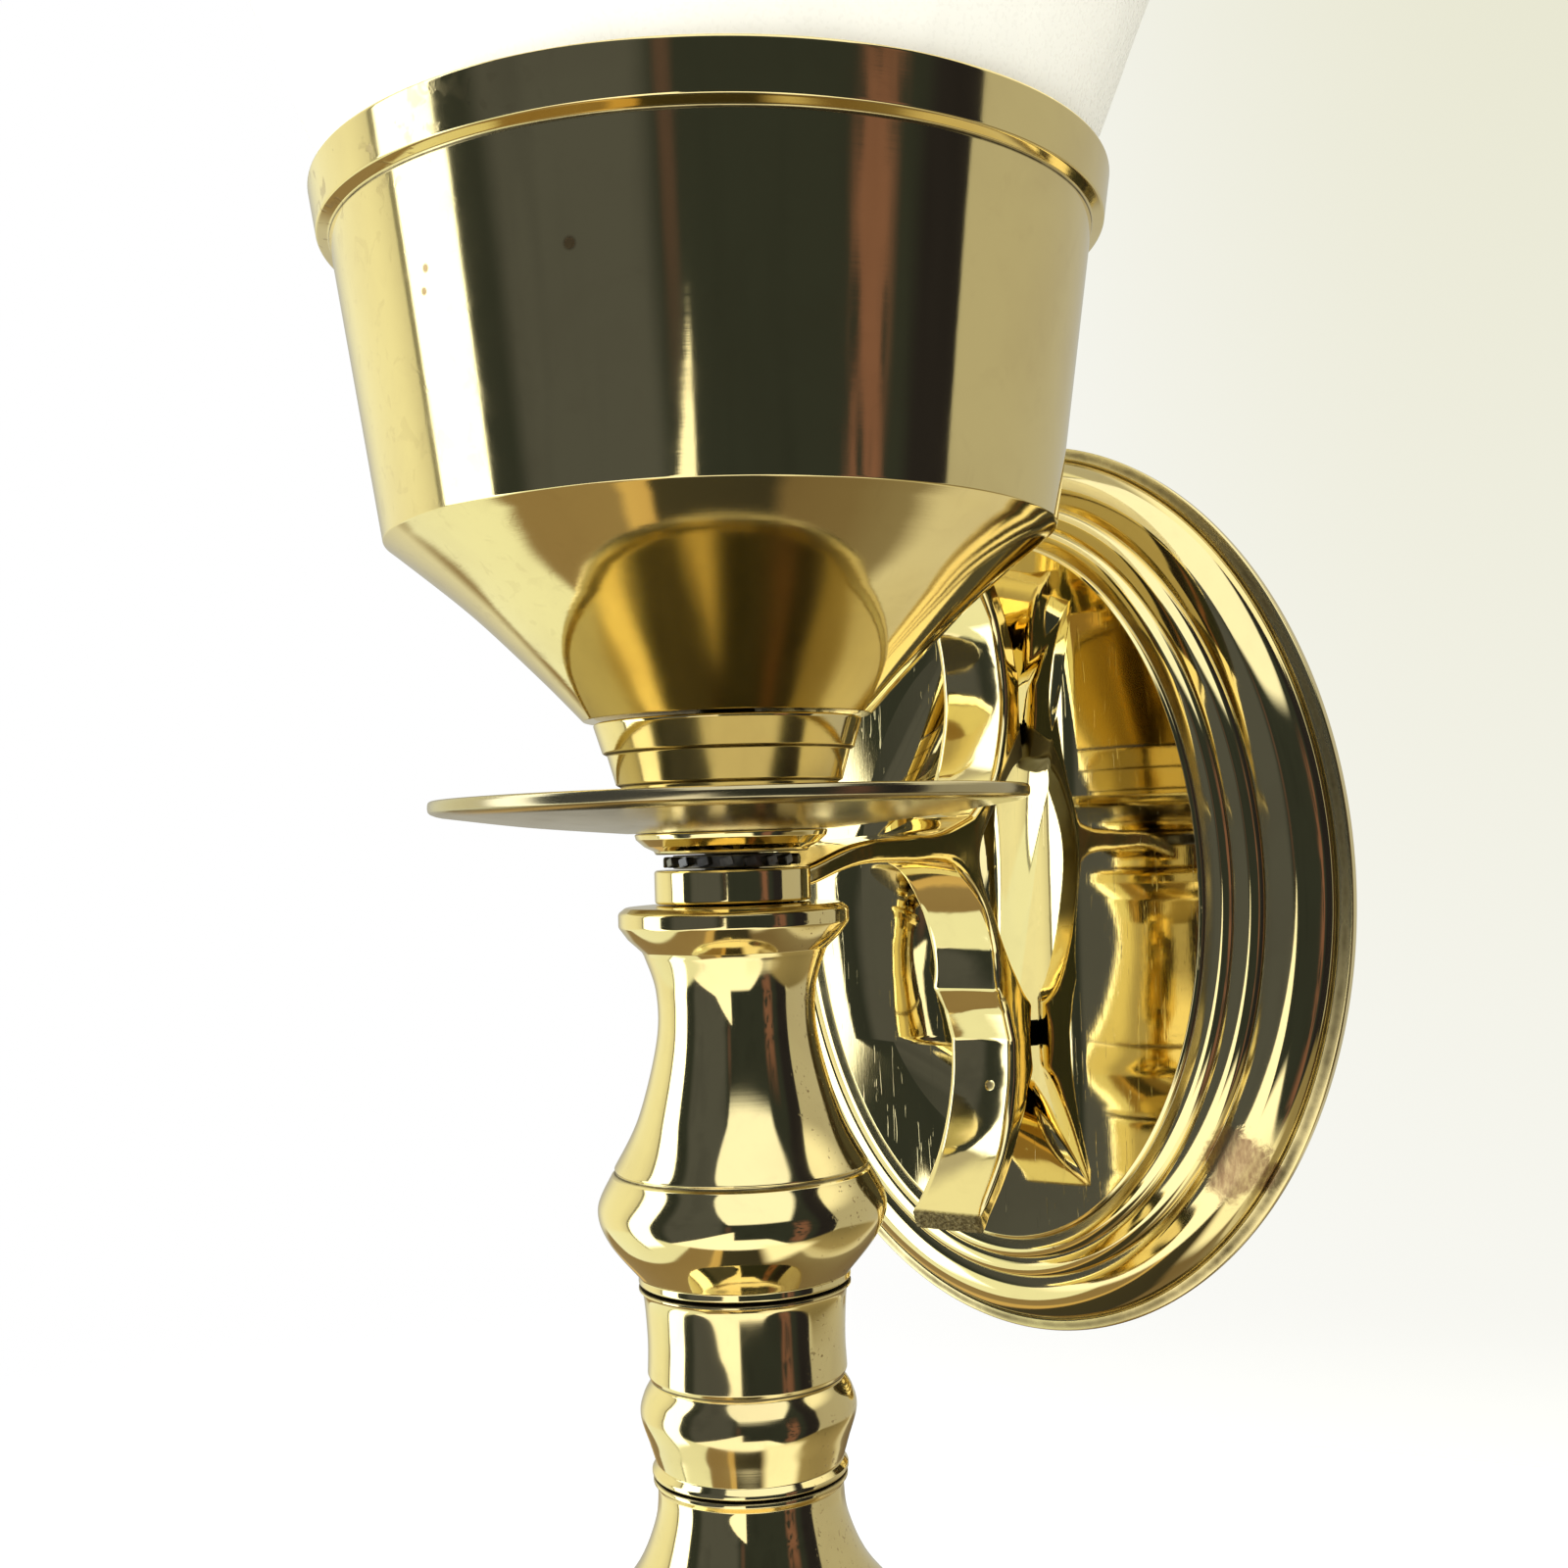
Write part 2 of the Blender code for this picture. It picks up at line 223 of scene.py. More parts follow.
class Graph:
    """One node tree and the ways that nodes are added to it."""

    def __init__(self, tree, kind="Shader"):
        self.tree = tree
        self.kind = kind

    def node(self, kind, settings=None, values=None):
        """A node of that type: its settings are set first, then its sockets' values or links."""
        made = self.tree.nodes.new(kind)
        for name, setting in (settings or {}).items():
            if name == "stops":
                stops = made.color_ramp.elements
                inner = [stops.new(at) for at, _ in setting[1:-1]]
                for stop, (at, colour) in zip([stops[0], *inner, stops[-1]], setting):
                    stop.position = at
                    stop.color = (*colour, 1.0)
            else:
                setattr(made, name, setting)
        for name, given in (values or {}).items():
            socket = made.inputs[name]
            if isinstance(given, Value):
                self.tree.links.new(given.socket, socket)
            elif isinstance(given, bpy.types.NodeSocket):
                self.tree.links.new(given, socket)
            else:
                socket.default_value = given
        return made

    def value(self, kind, settings=None, values=None, output=0):
        return Value(self, self.node(kind, settings, values).outputs[output])

    def socket(self, kind, settings=None, values=None, output=0):
        return self.node(kind, settings, values).outputs[output]

    def split(self, vector):
        """The three numbers of a vector."""
        made = self.node(f"{self.kind}NodeSeparateXYZ", None, {0: vector})
        return tuple(Value(self, made.outputs[axis]) for axis in range(3))

    def join(self, x, y, z):
        return self.socket(f"{self.kind}NodeCombineXYZ", None, {0: x, 1: y, 2: z})

    def mix(self, share, first, second):
        """A colour that goes from the first to the second."""
        colours = [(*c, 1.0) if isinstance(c, tuple) else c for c in (first, second)]
        settings = {"data_type": "RGBA"}
        values = {0: share, 6: colours[0], 7: colours[1]}
        return self.socket("ShaderNodeMix", settings, values, 2)

    def cloud(self, vector, size, detail=2.0, rough=0.5, bend=0.0, offset=0.0):
        """Soft noise from 0 to 1 whose features are about size millimetres wide."""
        if offset:
            values = {0: vector, 1: (offset,) * 3}
            vector = self.socket("ShaderNodeVectorMath", {"operation": "ADD"}, values)
        values = {"Vector": vector, "Scale": 1 / (size * MM), "Detail": detail}
        values |= {"Roughness": rough, "Distortion": bend}
        return self.value("ShaderNodeTexNoise", None, values, "Fac")

    def scaled(self, vector, factors):
        values = {0: vector, 1: factors}
        return self.socket("ShaderNodeVectorMath", {"operation": "MULTIPLY"}, values)

    def dots(self, vector, size, radius, share):
        """Sparse round dots: size is the cell in millimetres, radius and share are fractions."""
        values = {"Vector": vector, "Scale": 1 / (size * MM)}
        cells = self.node("ShaderNodeTexVoronoi", {"feature": "F1"}, values)
        away = Value(self, cells.outputs["Distance"])
        lot = self.split(cells.outputs["Color"])[0]
        return (1.0 - away.ramp(radius * 0.6, radius)) * lot.ramp(1.0 - share, 1.0 - share + 0.02)


def new_material(name):
    """An empty material with its Principled shader, its Object coordinates and its graph."""
    material = bpy.data.materials.new(name)
    material.use_nodes = True
    shader = material.node_tree.nodes["Principled BSDF"]
    graph = Graph(material.node_tree)
    place = graph.socket("ShaderNodeTexCoord", None, None, "Object")
    return material, shader, graph, place


def connect(graph, shader, colour, roughness, height):
    """Links what changes over the surface. The height is in millimetres."""
    graph.tree.links.new(colour, shader.inputs["Base Color"])
    graph.tree.links.new(roughness.socket, shader.inputs["Roughness"])
    values = {"Strength": 1.0, "Distance": MM, "Height": height}
    bump = graph.socket("ShaderNodeBump", None, values, "Normal")
    graph.tree.links.new(bump, shader.inputs["Normal"])


# Materials


def stick_place(graph, place):
    """Distance from the candlestick's axis, height, and the two sideways distances."""
    x, y, z = graph.split(place)
    across = y + REACH * MM
    radius = (x * x + across * across) ** 0.5
    return x, across, z, radius


def brass_base(graph, place, seed, dull=0.35):
    """The clean and the dulled brass, mixed by soft clouds; returns colour and roughness."""
    finish = bpy.context.scene.sconce_finish
    clouds = graph.cloud(place, 16.0, 3.0, 0.55, 0.4, seed)
    dulled = clouds.ramp(0.42, 0.75) * dull
    smears = graph.cloud(place, 4.5, 4.0, 0.6, 1.2, seed + 0.31)
    smeared = smears.ramp(0.5, 0.8) * 0.5 * dull
    colour = graph.mix((dulled + smeared).limit(), tuple(finish.brass), tuple(finish.tarnish))
    roughness = 0.055 + dulled * 0.10 + smeared * 0.14
    return colour, roughness


def turned_brass(
    name, seed, grooves=(), spots=(), speckled=0.0, freckled=0.0, dull=0.35, faded=0.0
):
    """Lathe-turned brass: rings from the tool, dirt and painted shade in the grooves and a few spots.

    grooves are heights, spots are (degrees round the axis from the front, height, size), all in
    millimetres but for the angle. The last four are shares of 1: speckles on the right side,
    freckles on the left side, dulled brass, and a browner and rougher brass.
    """
    finish = bpy.context.scene.sconce_finish
    material, shader, graph, place = new_material(name)
    x, across, z, radius = stick_place(graph, place)
    colour, roughness = brass_base(graph, place, seed, dull)
    if faded:
        colour = graph.mix(faded, colour, (0.42, 0.36, 0.22))
        roughness = roughness + faded * 0.16

    right = (x * 0.83 + across * 0.556) / radius
    fine = graph.cloud(place, 0.55, 3.0, 0.6, 0.0, seed)
    patches = graph.cloud(place, 5.0, 2.0, 0.5, 0.0, seed + 0.7)
    speckles = fine.ramp(0.60, 0.70) * patches.ramp(0.42, 0.60) * right.ramp(0.45, 0.8) * speckled
    left = graph.cloud(place, 2.4, 2.5, 0.55, 0.6, seed + 0.2)
    on_rim = z.ramp(70 * MM, 75 * MM) * 0.8 + 0.2
    freckles = left.ramp(0.57, 0.66) * (-right).ramp(0.2, 0.9) * freckled * on_rim
    pits = graph.dots(place, 9.0, 0.045, 0.25)
    marks = (speckles + freckles * 0.6 + pits * 0.8).limit()
    for degrees, height, size in spots:
        angle = math.radians(degrees)
        away_x = x - math.sin(angle) * radius
        away_y = across + math.cos(angle) * radius
        away_z = z - height * MM
        away = (away_x * away_x + away_y * away_y + away_z * away_z) ** 0.5
        marks = (marks + (1.0 - away.ramp(0.5 * size * MM, size * MM)) * 0.9).limit()
    colour = graph.mix(marks, colour, tuple(finish.freckle))
    roughness = roughness + marks * 0.25

    # Dark bands at the groove heights: dirt, together with painted shade where the grooves lie in
    # shade.
    if grooves:
        dirt_and_shade = z.near(grooves[0] * MM, 0.22 * MM)
        for height in grooves[1:]:
            dirt_and_shade = dirt_and_shade.math("MAXIMUM", z.near(height * MM, 0.22 * MM))
        uneven = graph.cloud(place, 3.0, 3.0, 0.6, 0.0, seed + 0.5)
        dirt_and_shade = (dirt_and_shade * (0.45 + uneven)).limit()
        colour = graph.mix(dirt_and_shade, colour, tuple(finish.grime_and_shade))
        roughness = roughness + dirt_and_shade * 0.45

    path = graph.join(radius, z, 0.0)
    rings = graph.cloud(path, 0.22, 3.0, 0.65, 0.0, seed) * 0.0009
    broad = graph.cloud(path, 2.2, 2.0, 0.5, 0.0, seed + 0.4) * 0.004
    dents = graph.cloud(place, 9.0, 2.0, 0.5, 0.0, seed + 0.9) * 0.012
    hairs = graph.cloud(graph.scaled(place, (1.0, 1.0, 0.08)), 0.3, 2.0, 0.5, 0.8, seed) * 0.0006
    height = rings + broad + dents + hairs - marks * 0.01
    shader.inputs["Metallic"].default_value = 1.0
    connect(graph, shader, colour, roughness, height)
    return material


def plate_brass(name):
    """The cast plate: buffed bands, dirt and painted shade in its creases, and an upright brush grain
    on its flat.
    """
    finish = bpy.context.scene.sconce_finish
    material, shader, graph, place = new_material(name)
    x, y, z = graph.split(place)
    colour, roughness = brass_base(graph, place, 3.3, 0.3)
    rise = -y
    flat = rise.ramp(10.9 * MM, 11.1 * MM)

    # Dark bands in the creases of the moulding: dirt, together with painted shade.
    dirt_and_shade = rise.near(2.05 * MM, 0.3 * MM)
    for crease in (7.15, 9.2, 10.55):
        dirt_and_shade = dirt_and_shade.math("MAXIMUM", rise.near(crease * MM, 0.13 * MM) * 0.8)
    uneven = graph.cloud(place, 4.0, 3.0, 0.6, 0.0, 0.5)
    dirt_and_shade = (dirt_and_shade * (0.2 + uneven)).limit()

    stain_x = (x - 31.5 * MM) / (5.0 * MM)
    stain_z = (z + 37.0 * MM) / (6.0 * MM)
    ragged = graph.cloud(place, 3.0, 4.0, 0.7, 0.5, 1.1)
    from_stain = (stain_x * stain_x + stain_z * stain_z) ** 0.5 + ragged * 1.4 - 0.7
    stain = 1.0 - from_stain.ramp(0.6, 1.0)
    rubbed = graph.cloud(graph.scaled(place, (1.0, 1.0, 0.3)), 0.6, 3.0, 0.6, 0.0, 2.2)
    stain = (stain * (0.35 + rubbed)).limit()
    pits = graph.dots(place, 8.0, 0.05, 0.3) * 0.8
    marks = (stain * 0.85 + pits).limit()

    colour = graph.mix(marks, colour, (0.25, 0.13, 0.07))
    colour = graph.mix(dirt_and_shade, colour, tuple(finish.grime_and_shade))
    roughness = roughness * (1.0 - flat * 0.4) + marks * 0.22 + dirt_and_shade * 0.4

    grain = graph.cloud(graph.scaled(place, (1.0, 1.0, 0.045)), 0.16, 3.0, 0.6, 0.6, 0.1)
    deep = graph.cloud(graph.scaled(place, (1.0, 1.0, 0.05)), 0.5, 2.0, 0.5, 1.4, 4.4)
    scratches = grain * 0.0009 + deep.ramp(0.66, 0.72) * -0.0022
    broad = graph.cloud(place, 11.0, 2.0, 0.5, 0.0, 0.9) * 0.02
    buffed = graph.cloud(place, 0.35, 2.0, 0.5, 0.0, 0.2) * 0.0004
    # A bump, not a shape: it tilts the flat near its left edge so that it mirrors the window.
    oval_x = x / (29.5 * MM)
    oval_z = z / (48.5 * MM)
    past = ((oval_x * oval_x + oval_z * oval_z) ** 0.5 - 0.74).math("MAXIMUM", 0.0)
    fall = past * 3.4 * flat * (x * -1.0).ramp(4 * MM, 16 * MM)
    height = scratches * flat + broad * (1.0 - flat * 0.75) + buffed - marks * 0.01 - fall
    shader.inputs["Metallic"].default_value = 1.0
    connect(graph, shader, colour, roughness, height)
    return material


def bracket_brass(name):
    """The cast bracket: filed by hand, raw between its feet and painted darker there as shade, with a
    pit and a rough broken end.
    """
    finish = bpy.context.scene.sconce_finish
    material, shader, graph, place = new_material(name)
    x, y, z = graph.split(place)
    colour, roughness = brass_base(graph, place, 7.1, 0.3)
    off_middle = z - 4.0 * MM
    spread = (off_middle * off_middle + (5.0 * MM) ** 2) ** 0.5 - 5.0 * MM
    # Raw casting near the plate, which is rougher, plus painted shade: a near-black colour where the
    # gap between bracket and plate lies in shade.
    raw_and_shaded = (y + 24.8 * MM - spread).ramp(-1.6 * MM, -0.6 * MM)
    skin = graph.cloud(place, 0.9, 3.0, 0.6, 0.0, 3.5)
    # Painted shade: the near-black colour of the gap by the plate.
    colour = graph.mix(raw_and_shaded * 0.95, colour, (0.13, 0.115, 0.07))
    roughness = roughness + raw_and_shaded * (0.4 + skin * 0.15)
    down_the_tip = y * -0.91 + z * -0.41
    end = down_the_tip.ramp(43.2 * MM, 43.9 * MM) * (1.0 - z.ramp(-41.0 * MM, -39.0 * MM))
    away = ((x - 1.2 * MM) ** 2.0 + (z + 26.5 * MM) ** 2.0) ** 0.5
    pit = 1.0 - away.ramp(0.3 * MM, 0.75 * MM)
    holes = graph.dots(place, 6.0, 0.06, 0.22)
    crust = graph.cloud(place, 0.5, 3.0, 0.7, 0.0, 1.5)
    marks = (end * (0.4 + crust) + holes * 0.6 + pit * 0.85).limit()
    colour = graph.mix(marks, colour, tuple(finish.grime_and_shade))
    roughness = roughness + marks * 0.45
    filed = graph.cloud(graph.scaled(place, (0.12, 1.0, 1.0)), 0.35, 2.0, 0.5, 0.4, 2.0) * 0.0012
    lumps = graph.cloud(place, 4.5, 2.0, 0.5, 0.3, 0.6) * 0.03
    height = filed + lumps + crust * end * 0.12 - holes * 0.03 - pit * 0.15 + raw_and_shaded * skin * 0.03
    shader.inputs["Metallic"].default_value = 1.0
    connect(graph, shader, colour, roughness, height)
    return material


def dark_steel(name, seed=0.0):
    """Blackened steel with a fine grain and a little brown rust."""
    finish = bpy.context.scene.sconce_finish
    material, shader, graph, place = new_material(name)
    worn = graph.cloud(place, 3.0, 4.0, 0.6, 0.3, seed + 0.2)
    rust = graph.cloud(place, 1.2, 4.0, 0.65, 0.5, seed + 2.2).ramp(0.60, 0.74)
    dark = tuple(0.5 * c for c in finish.steel)
    colour = graph.mix(worn.ramp(0.35, 0.65), dark, tuple(finish.steel))
    colour = graph.mix(rust * 0.6, colour, (0.17, 0.07, 0.03))
    grain = graph.cloud(place, 0.25, 3.0, 0.6, 0.0, seed)
    roughness = 0.30 + worn * 0.16 + rust * 0.25
    shader.inputs["Metallic"].default_value = 1.0
    connect(graph, shader, colour, roughness, grain * 0.004 + worn * 0.01)
    return material


def opal_glass(name):
    """White glass through and through, with faint flow lines from blowing."""
    finish = bpy.context.scene.sconce_finish
    material, shader, graph, place = new_material(name)
    flow = graph.cloud(graph.scaled(place, (1.0, 1.0, 0.25)), 14.0, 3.0, 0.5, 0.8)
    cloudy = tuple(0.95 * c for c in finish.glass)
    colour = graph.mix(flow.ramp(0.35, 0.7), tuple(finish.glass), cloudy)
    satin = graph.cloud(place, 0.5, 2.0, 0.5, 0.0, 0.3)
    roughness = 0.24 + satin * 0.08
    shader.inputs["Metallic"].default_value = 0.0
    connect(graph, shader, colour, roughness, flow * 0.05 + satin * 0.0008)
    return material


def pressed_felt(name):
    """Short matted fibres."""
    finish = bpy.context.scene.sconce_finish
    material, shader, graph, place = new_material(name)
    fibres = graph.cloud(place, 0.25, 4.0, 0.7, 2.0)
    light = tuple(1.6 * c for c in finish.felt)
    colour = graph.mix(fibres.ramp(0.35, 0.7), tuple(finish.felt), light)
    shader.inputs["Metallic"].default_value = 0.0
    shader.inputs["Sheen Weight"].default_value = 0.4
    connect(graph, shader, colour, 0.85 + fibres * 0.1, fibres * 0.08)
    return material


# Shape helpers


def between(before, start, end, after, t):
    """The value a share t of the way from start to end, on a smooth curve through all four."""
    slope = end - before
    bend = 2 * before - 5 * start + 4 * end - after
    twist = 3 * start - before - 3 * end + after
    return start + 0.5 * t * (slope + t * (bend + t * twist))


def curve(points, steps=10):
    """Points on a smooth curve through the given ones, its two ends included."""
    ends = [points[0], *points, points[-1]]
    found = []
    for corners in zip(ends, ends[1:], ends[2:], ends[3:]):
        for step in range(steps):
            found.append(tuple(between(*values, step / steps) for values in zip(*corners)))
    return [*found, points[-1]]


def soften(points, radius=0.35, closed=True, steps=6):
    """Rounds each corner of an outline that turns more than 15 degrees."""
    found = []
    count = len(points)
    for here, point in enumerate(points):
        if not closed and here in (0, count - 1):
            found.append(point)
            continue
        corner = Vector(point)
        back = Vector(points[here - 1]) - corner
        ahead = Vector(points[(here + 1) % count]) - corner
        room = min(back.length, ahead.length)
        turn = math.pi - back.angle(ahead)
        if turn < math.radians(15):
            found.append(point)
            continue
        half = math.tan(turn / 2)
        reach = min(radius * half, 0.42 * room)
        curve_radius = reach / half
        back.normalize()
        ahead.normalize()
        spare = min(0.14, 0.3 * (0.5 * room - reach))
        middle = corner + (back + ahead).normalized() * (curve_radius / math.cos(turn / 2))
        first = corner + back * reach - middle
        found.append(tuple(corner + back * (reach + spare)))
        last = corner + ahead * reach - middle
        sweep = first.angle(last)
        for step in range(steps + 1):
            t = step / steps
            near_share = math.sin((1 - t) * sweep) / math.sin(sweep)
            far_share = math.sin(t * sweep) / math.sin(sweep)
            found.append(tuple(middle + first * near_share + last * far_share))
        found.append(tuple(corner + ahead * (reach + spare)))
    return found


def mesh_from(shape, name):
    mesh = bpy.data.meshes.new(name)
    shape.to_mesh(mesh)
    shape.free()
    return mesh


def joined(shape, rings):
    """Closes a row of equal rings into a solid, with its faces turned outward."""
    count = len(rings[0])
    for first, second in zip(rings, rings[1:]):
        for here in range(count):
            there = (here + 1) % count
            shape.faces.new((first[here], first[there], second[there], second[here]))
    for ring in (rings[0], rings[-1]):
        shape.faces.new(ring)
    bmesh.ops.recalc_face_normals(shape, faces=shape.faces)


def link(name, mesh):
    obj = bpy.data.objects.new(name, mesh)
    bpy.context.scene.collection.objects.link(obj)
    return obj


def outward(mesh, merge=1e-7):
    """Merges doubles and turns the faces of a closed mesh outward."""
    shape = bmesh.new()
    shape.from_mesh(mesh)
    bmesh.ops.remove_doubles(shape, verts=shape.verts, dist=merge)
    bmesh.ops.recalc_face_normals(shape, faces=shape.faces)
    shape.to_mesh(mesh)
    shape.free()
    mesh.shade_smooth()


def baked(obj):
    """Replaces an object's mesh by what its modifiers make of it, and removes them."""
    graph = bpy.context.evaluated_depsgraph_get()
    made = bpy.data.meshes.new_from_object(obj.evaluated_get(graph))
    obj.modifiers.clear()
    old = obj.data
    obj.data = made
    bpy.data.meshes.remove(old)
    return obj


def add_nodes(obj, tree, inputs):
    """Adds a Geometry Nodes modifier and sets its inputs by name."""
    modifier = obj.modifiers.new(tree.name, "NODES")
    modifier.node_group = tree
    for item in tree.interface.items_tree:
        if item.item_type == "SOCKET" and item.in_out == "INPUT" and item.name in inputs:
            modifier[item.identifier] = inputs[item.name]


def new_tree(name, sockets):
    """An empty geometry tree with a geometry output and the named inputs."""
    tree = bpy.data.node_groups.new(name, "GeometryNodeTree")
    tree.interface.new_socket("Geometry", in_out="INPUT", socket_type="NodeSocketGeometry")
    for socket_name, kind in sockets:
        tree.interface.new_socket(socket_name, in_out="INPUT", socket_type=kind)
    tree.interface.new_socket("Geometry", in_out="OUTPUT", socket_type="NodeSocketGeometry")
    graph = Graph(tree)
    given = graph.node("NodeGroupInput").outputs
    return tree, graph, given


def end_tree(graph, geometry, material):
    """Realizes what was made, gives it its material and sends it out."""
    real = graph.socket("GeometryNodeRealizeInstances", None, {0: geometry})
    done = graph.socket("GeometryNodeSetMaterial", None, {0: real, "Material": material})
    graph.node("NodeGroupOutput", None, {0: done})


def sweep_tree(name, sockets, spot):
    """A tree that carries a profile round: spot gives a point from the profile's and the angle."""
    common = [("Segments", "NodeSocketInt"), ("Material", "NodeSocketMaterial")]
    tree, graph, given = new_tree(name, [*common, *sockets])
    profile = given["Geometry"]
    count = graph.socket("GeometryNodeAttributeDomainSize", None, {0: profile}, "Point Count")
    across = Value(graph, given["Segments"]) + 1.0
    grid = graph.socket("GeometryNodeMeshGrid", None, {"Vertices X": count, "Vertices Y": across})
    index = graph.value("GeometryNodeInputIndex")
    ring = (index / across).math("FLOOR")
    step = index - ring * across
    position = graph.socket("GeometryNodeInputPosition")
    settings = {"data_type": "FLOAT_VECTOR", "domain": "POINT"}
    values = {"Geometry": profile, "Value": position, "Index": ring}
    first, _, second = graph.split(graph.socket("GeometryNodeSampleIndex", settings, values))
    angle = step * TAU / Value(graph, given["Segments"])
    values = {"Geometry": grid, "Position": spot(graph, given, first, second, angle)}
    moved = graph.socket("GeometryNodeSetPosition", None, values)
    merged = graph.socket("GeometryNodeMergeByDistance", None, {0: moved, "Distance": 1e-7})
    end_tree(graph, merged, given["Material"])
    return tree


def turning_tree():
    """Turns a profile about the candlestick's axis."""

    def spot(graph, given, radius, height, angle):
        x = radius * angle.math("COSINE")
        y = radius * angle.math("SINE") + Value(graph, given["Axis Y"])
        return graph.join(x, y, height)

    return sweep_tree("Turned Piece", [("Axis Y", "NodeSocketFloat")], spot)


def oval_tree():
    """Carries the plate's profile round its oval."""
    names = ("Half Width", "Half Height", "Squeeze")

    def spot(graph, given, inset, rise, angle):
        wide, tall, squeeze = (Value(graph, given[name]) for name in names)
        x = (wide - inset) * angle.math("COSINE")
        z = (tall - inset * squeeze) * angle.math("SINE")
        return graph.join(x, -rise, z)

    return sweep_tree("Oval Plate", [(name, "NodeSocketFloat") for name in names], spot)


def profile_mesh(name, points):
    """The profile as loose points in the XZ plane."""
    mesh = bpy.data.meshes.new(name)
    mesh.from_pydata([(first * MM, 0.0, second * MM) for first, second in points], [], [])
    return mesh


def turned(name, profile, material, segments=None, axis=-REACH * MM):
    """A turned piece from a profile, which is closed unless its ends lie on the axis."""
    tree = bpy.data.node_groups.get("Turned Piece") or turning_tree()
    if profile[0][0] > 0:
        profile = [*profile, profile[0]]
    obj = link(name, profile_mesh(name, profile))
    segments = segments or bpy.context.scene.sconce_turning.segments
    add_nodes(obj, tree, {"Segments": segments, "Axis Y": axis, "Material": material})
    baked(obj)
    outward(obj.data)
    return obj


def finish_piece(obj, body, slot, *nodes):
    """Rides the piece on its body and hides the nodes it stands for."""
    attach(obj, body)
    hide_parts(*nodes)
    return obj


def turned_piece(name, profile, material, node, slot="polished_brass", segments=None):
    """A turned piece of the candlestick, finished."""
    return finish_piece(turned(name, profile, material, segments), STICK_BODY, slot, node)


def drill(radius, start, end, segments=48):
    """A plain cylinder between two points, in millimetres, used only to cut."""
    shape = bmesh.new()
    line = (Vector(end) - Vector(start)) * MM
    middle = (Vector(end) + Vector(start)) / 2 * MM
    turn = Vector((0, 0, 1)).rotation_difference(line).to_matrix().to_4x4()
    place = Matrix.Translation(middle) @ turn
    bmesh.ops.create_cone(
        shape,
        cap_ends=True,
        segments=segments,
        radius1=radius * MM,
        radius2=radius * MM,
        depth=line.length,
        matrix=place,
    )
    return link("drill", mesh_from(shape, "drill"))


def combine(obj, other, operation):
    """Applies one Boolean and removes the other object."""
    modifier = obj.modifiers.new("Combine", "BOOLEAN")
    modifier.operation = operation
    modifier.solver = "EXACT"
    modifier.object = other
    baked(obj)
    bpy.data.objects.remove(other, do_unlink=True)
    return obj


# Wall side


class SCONCE_OT_wall_plate(bpy.types.Operator):
    """Add the cast oval plate"""

    bl_idname = "sconce.wall_plate"
    bl_label = "Wall Plate"

    def execute(self, context):
        sizes = context.scene.sconce_plate
        depth, wall = 11.2, 1.7
        inside = curve([(18.1, depth - wall), (13.4, 7.4), (9.4, 5.3), (4.6, 3.0), (1.9, 0.0)], 8)
        border = [(0.0, 0.0), (0.0, 1.8), (1.8, 2.25)]
        band = curve([(2.05, 2.05), (2.5, 3.1), (3.4, 4.4), (5.6, 6.2), (8.2, 6.95), (9.9, 7.05)], 10)
        second = curve([(10.1, 7.5), (10.6, 8.2), (11.5, 8.75), (12.8, 9.05), (13.5, 9.1)], 8)
        third = curve([(13.7, 9.5), (14.2, 10.0), (15.2, 10.4), (16.8, 10.5)], 8)
        flat = [(17.1, 11.0), (17.5, depth), (18.2, depth), (20.0, depth)]
        outline = soften(inside + border + band + second + third + flat, 0.3, closed=False)
        tree = oval_tree()
        material = plate_brass("plate_brass")
        plate = link("wall_plate_cast", profile_mesh("wall_plate_cast", outline))
        inputs = {
            "Segments": sizes.steps,
            "Half Width": sizes.half_width,
            "Half Height": sizes.half_height,
            "Squeeze": sizes.squeeze,
            "Material": material,
        }
        add_nodes(plate, tree, inputs)
        baked(plate)
        shape = bmesh.new()
        shape.from_mesh(plate.data)
        bmesh.ops.holes_fill(shape, edges=[e for e in shape.edges if e.is_boundary], sides=0)
        shape.to_mesh(plate.data)
        shape.free()
        outward(plate.data)
        for height in SCREW_HEIGHTS:
            hole = drill(SCREW_BORE, (0, -depth - 2, height), (0, -depth + 4, height))
            combine(plate, hole, "DIFFERENCE")
        finish_piece(plate, WALL_BODY, "polished_brass", "wall_plate")
        return {"FINISHED"}


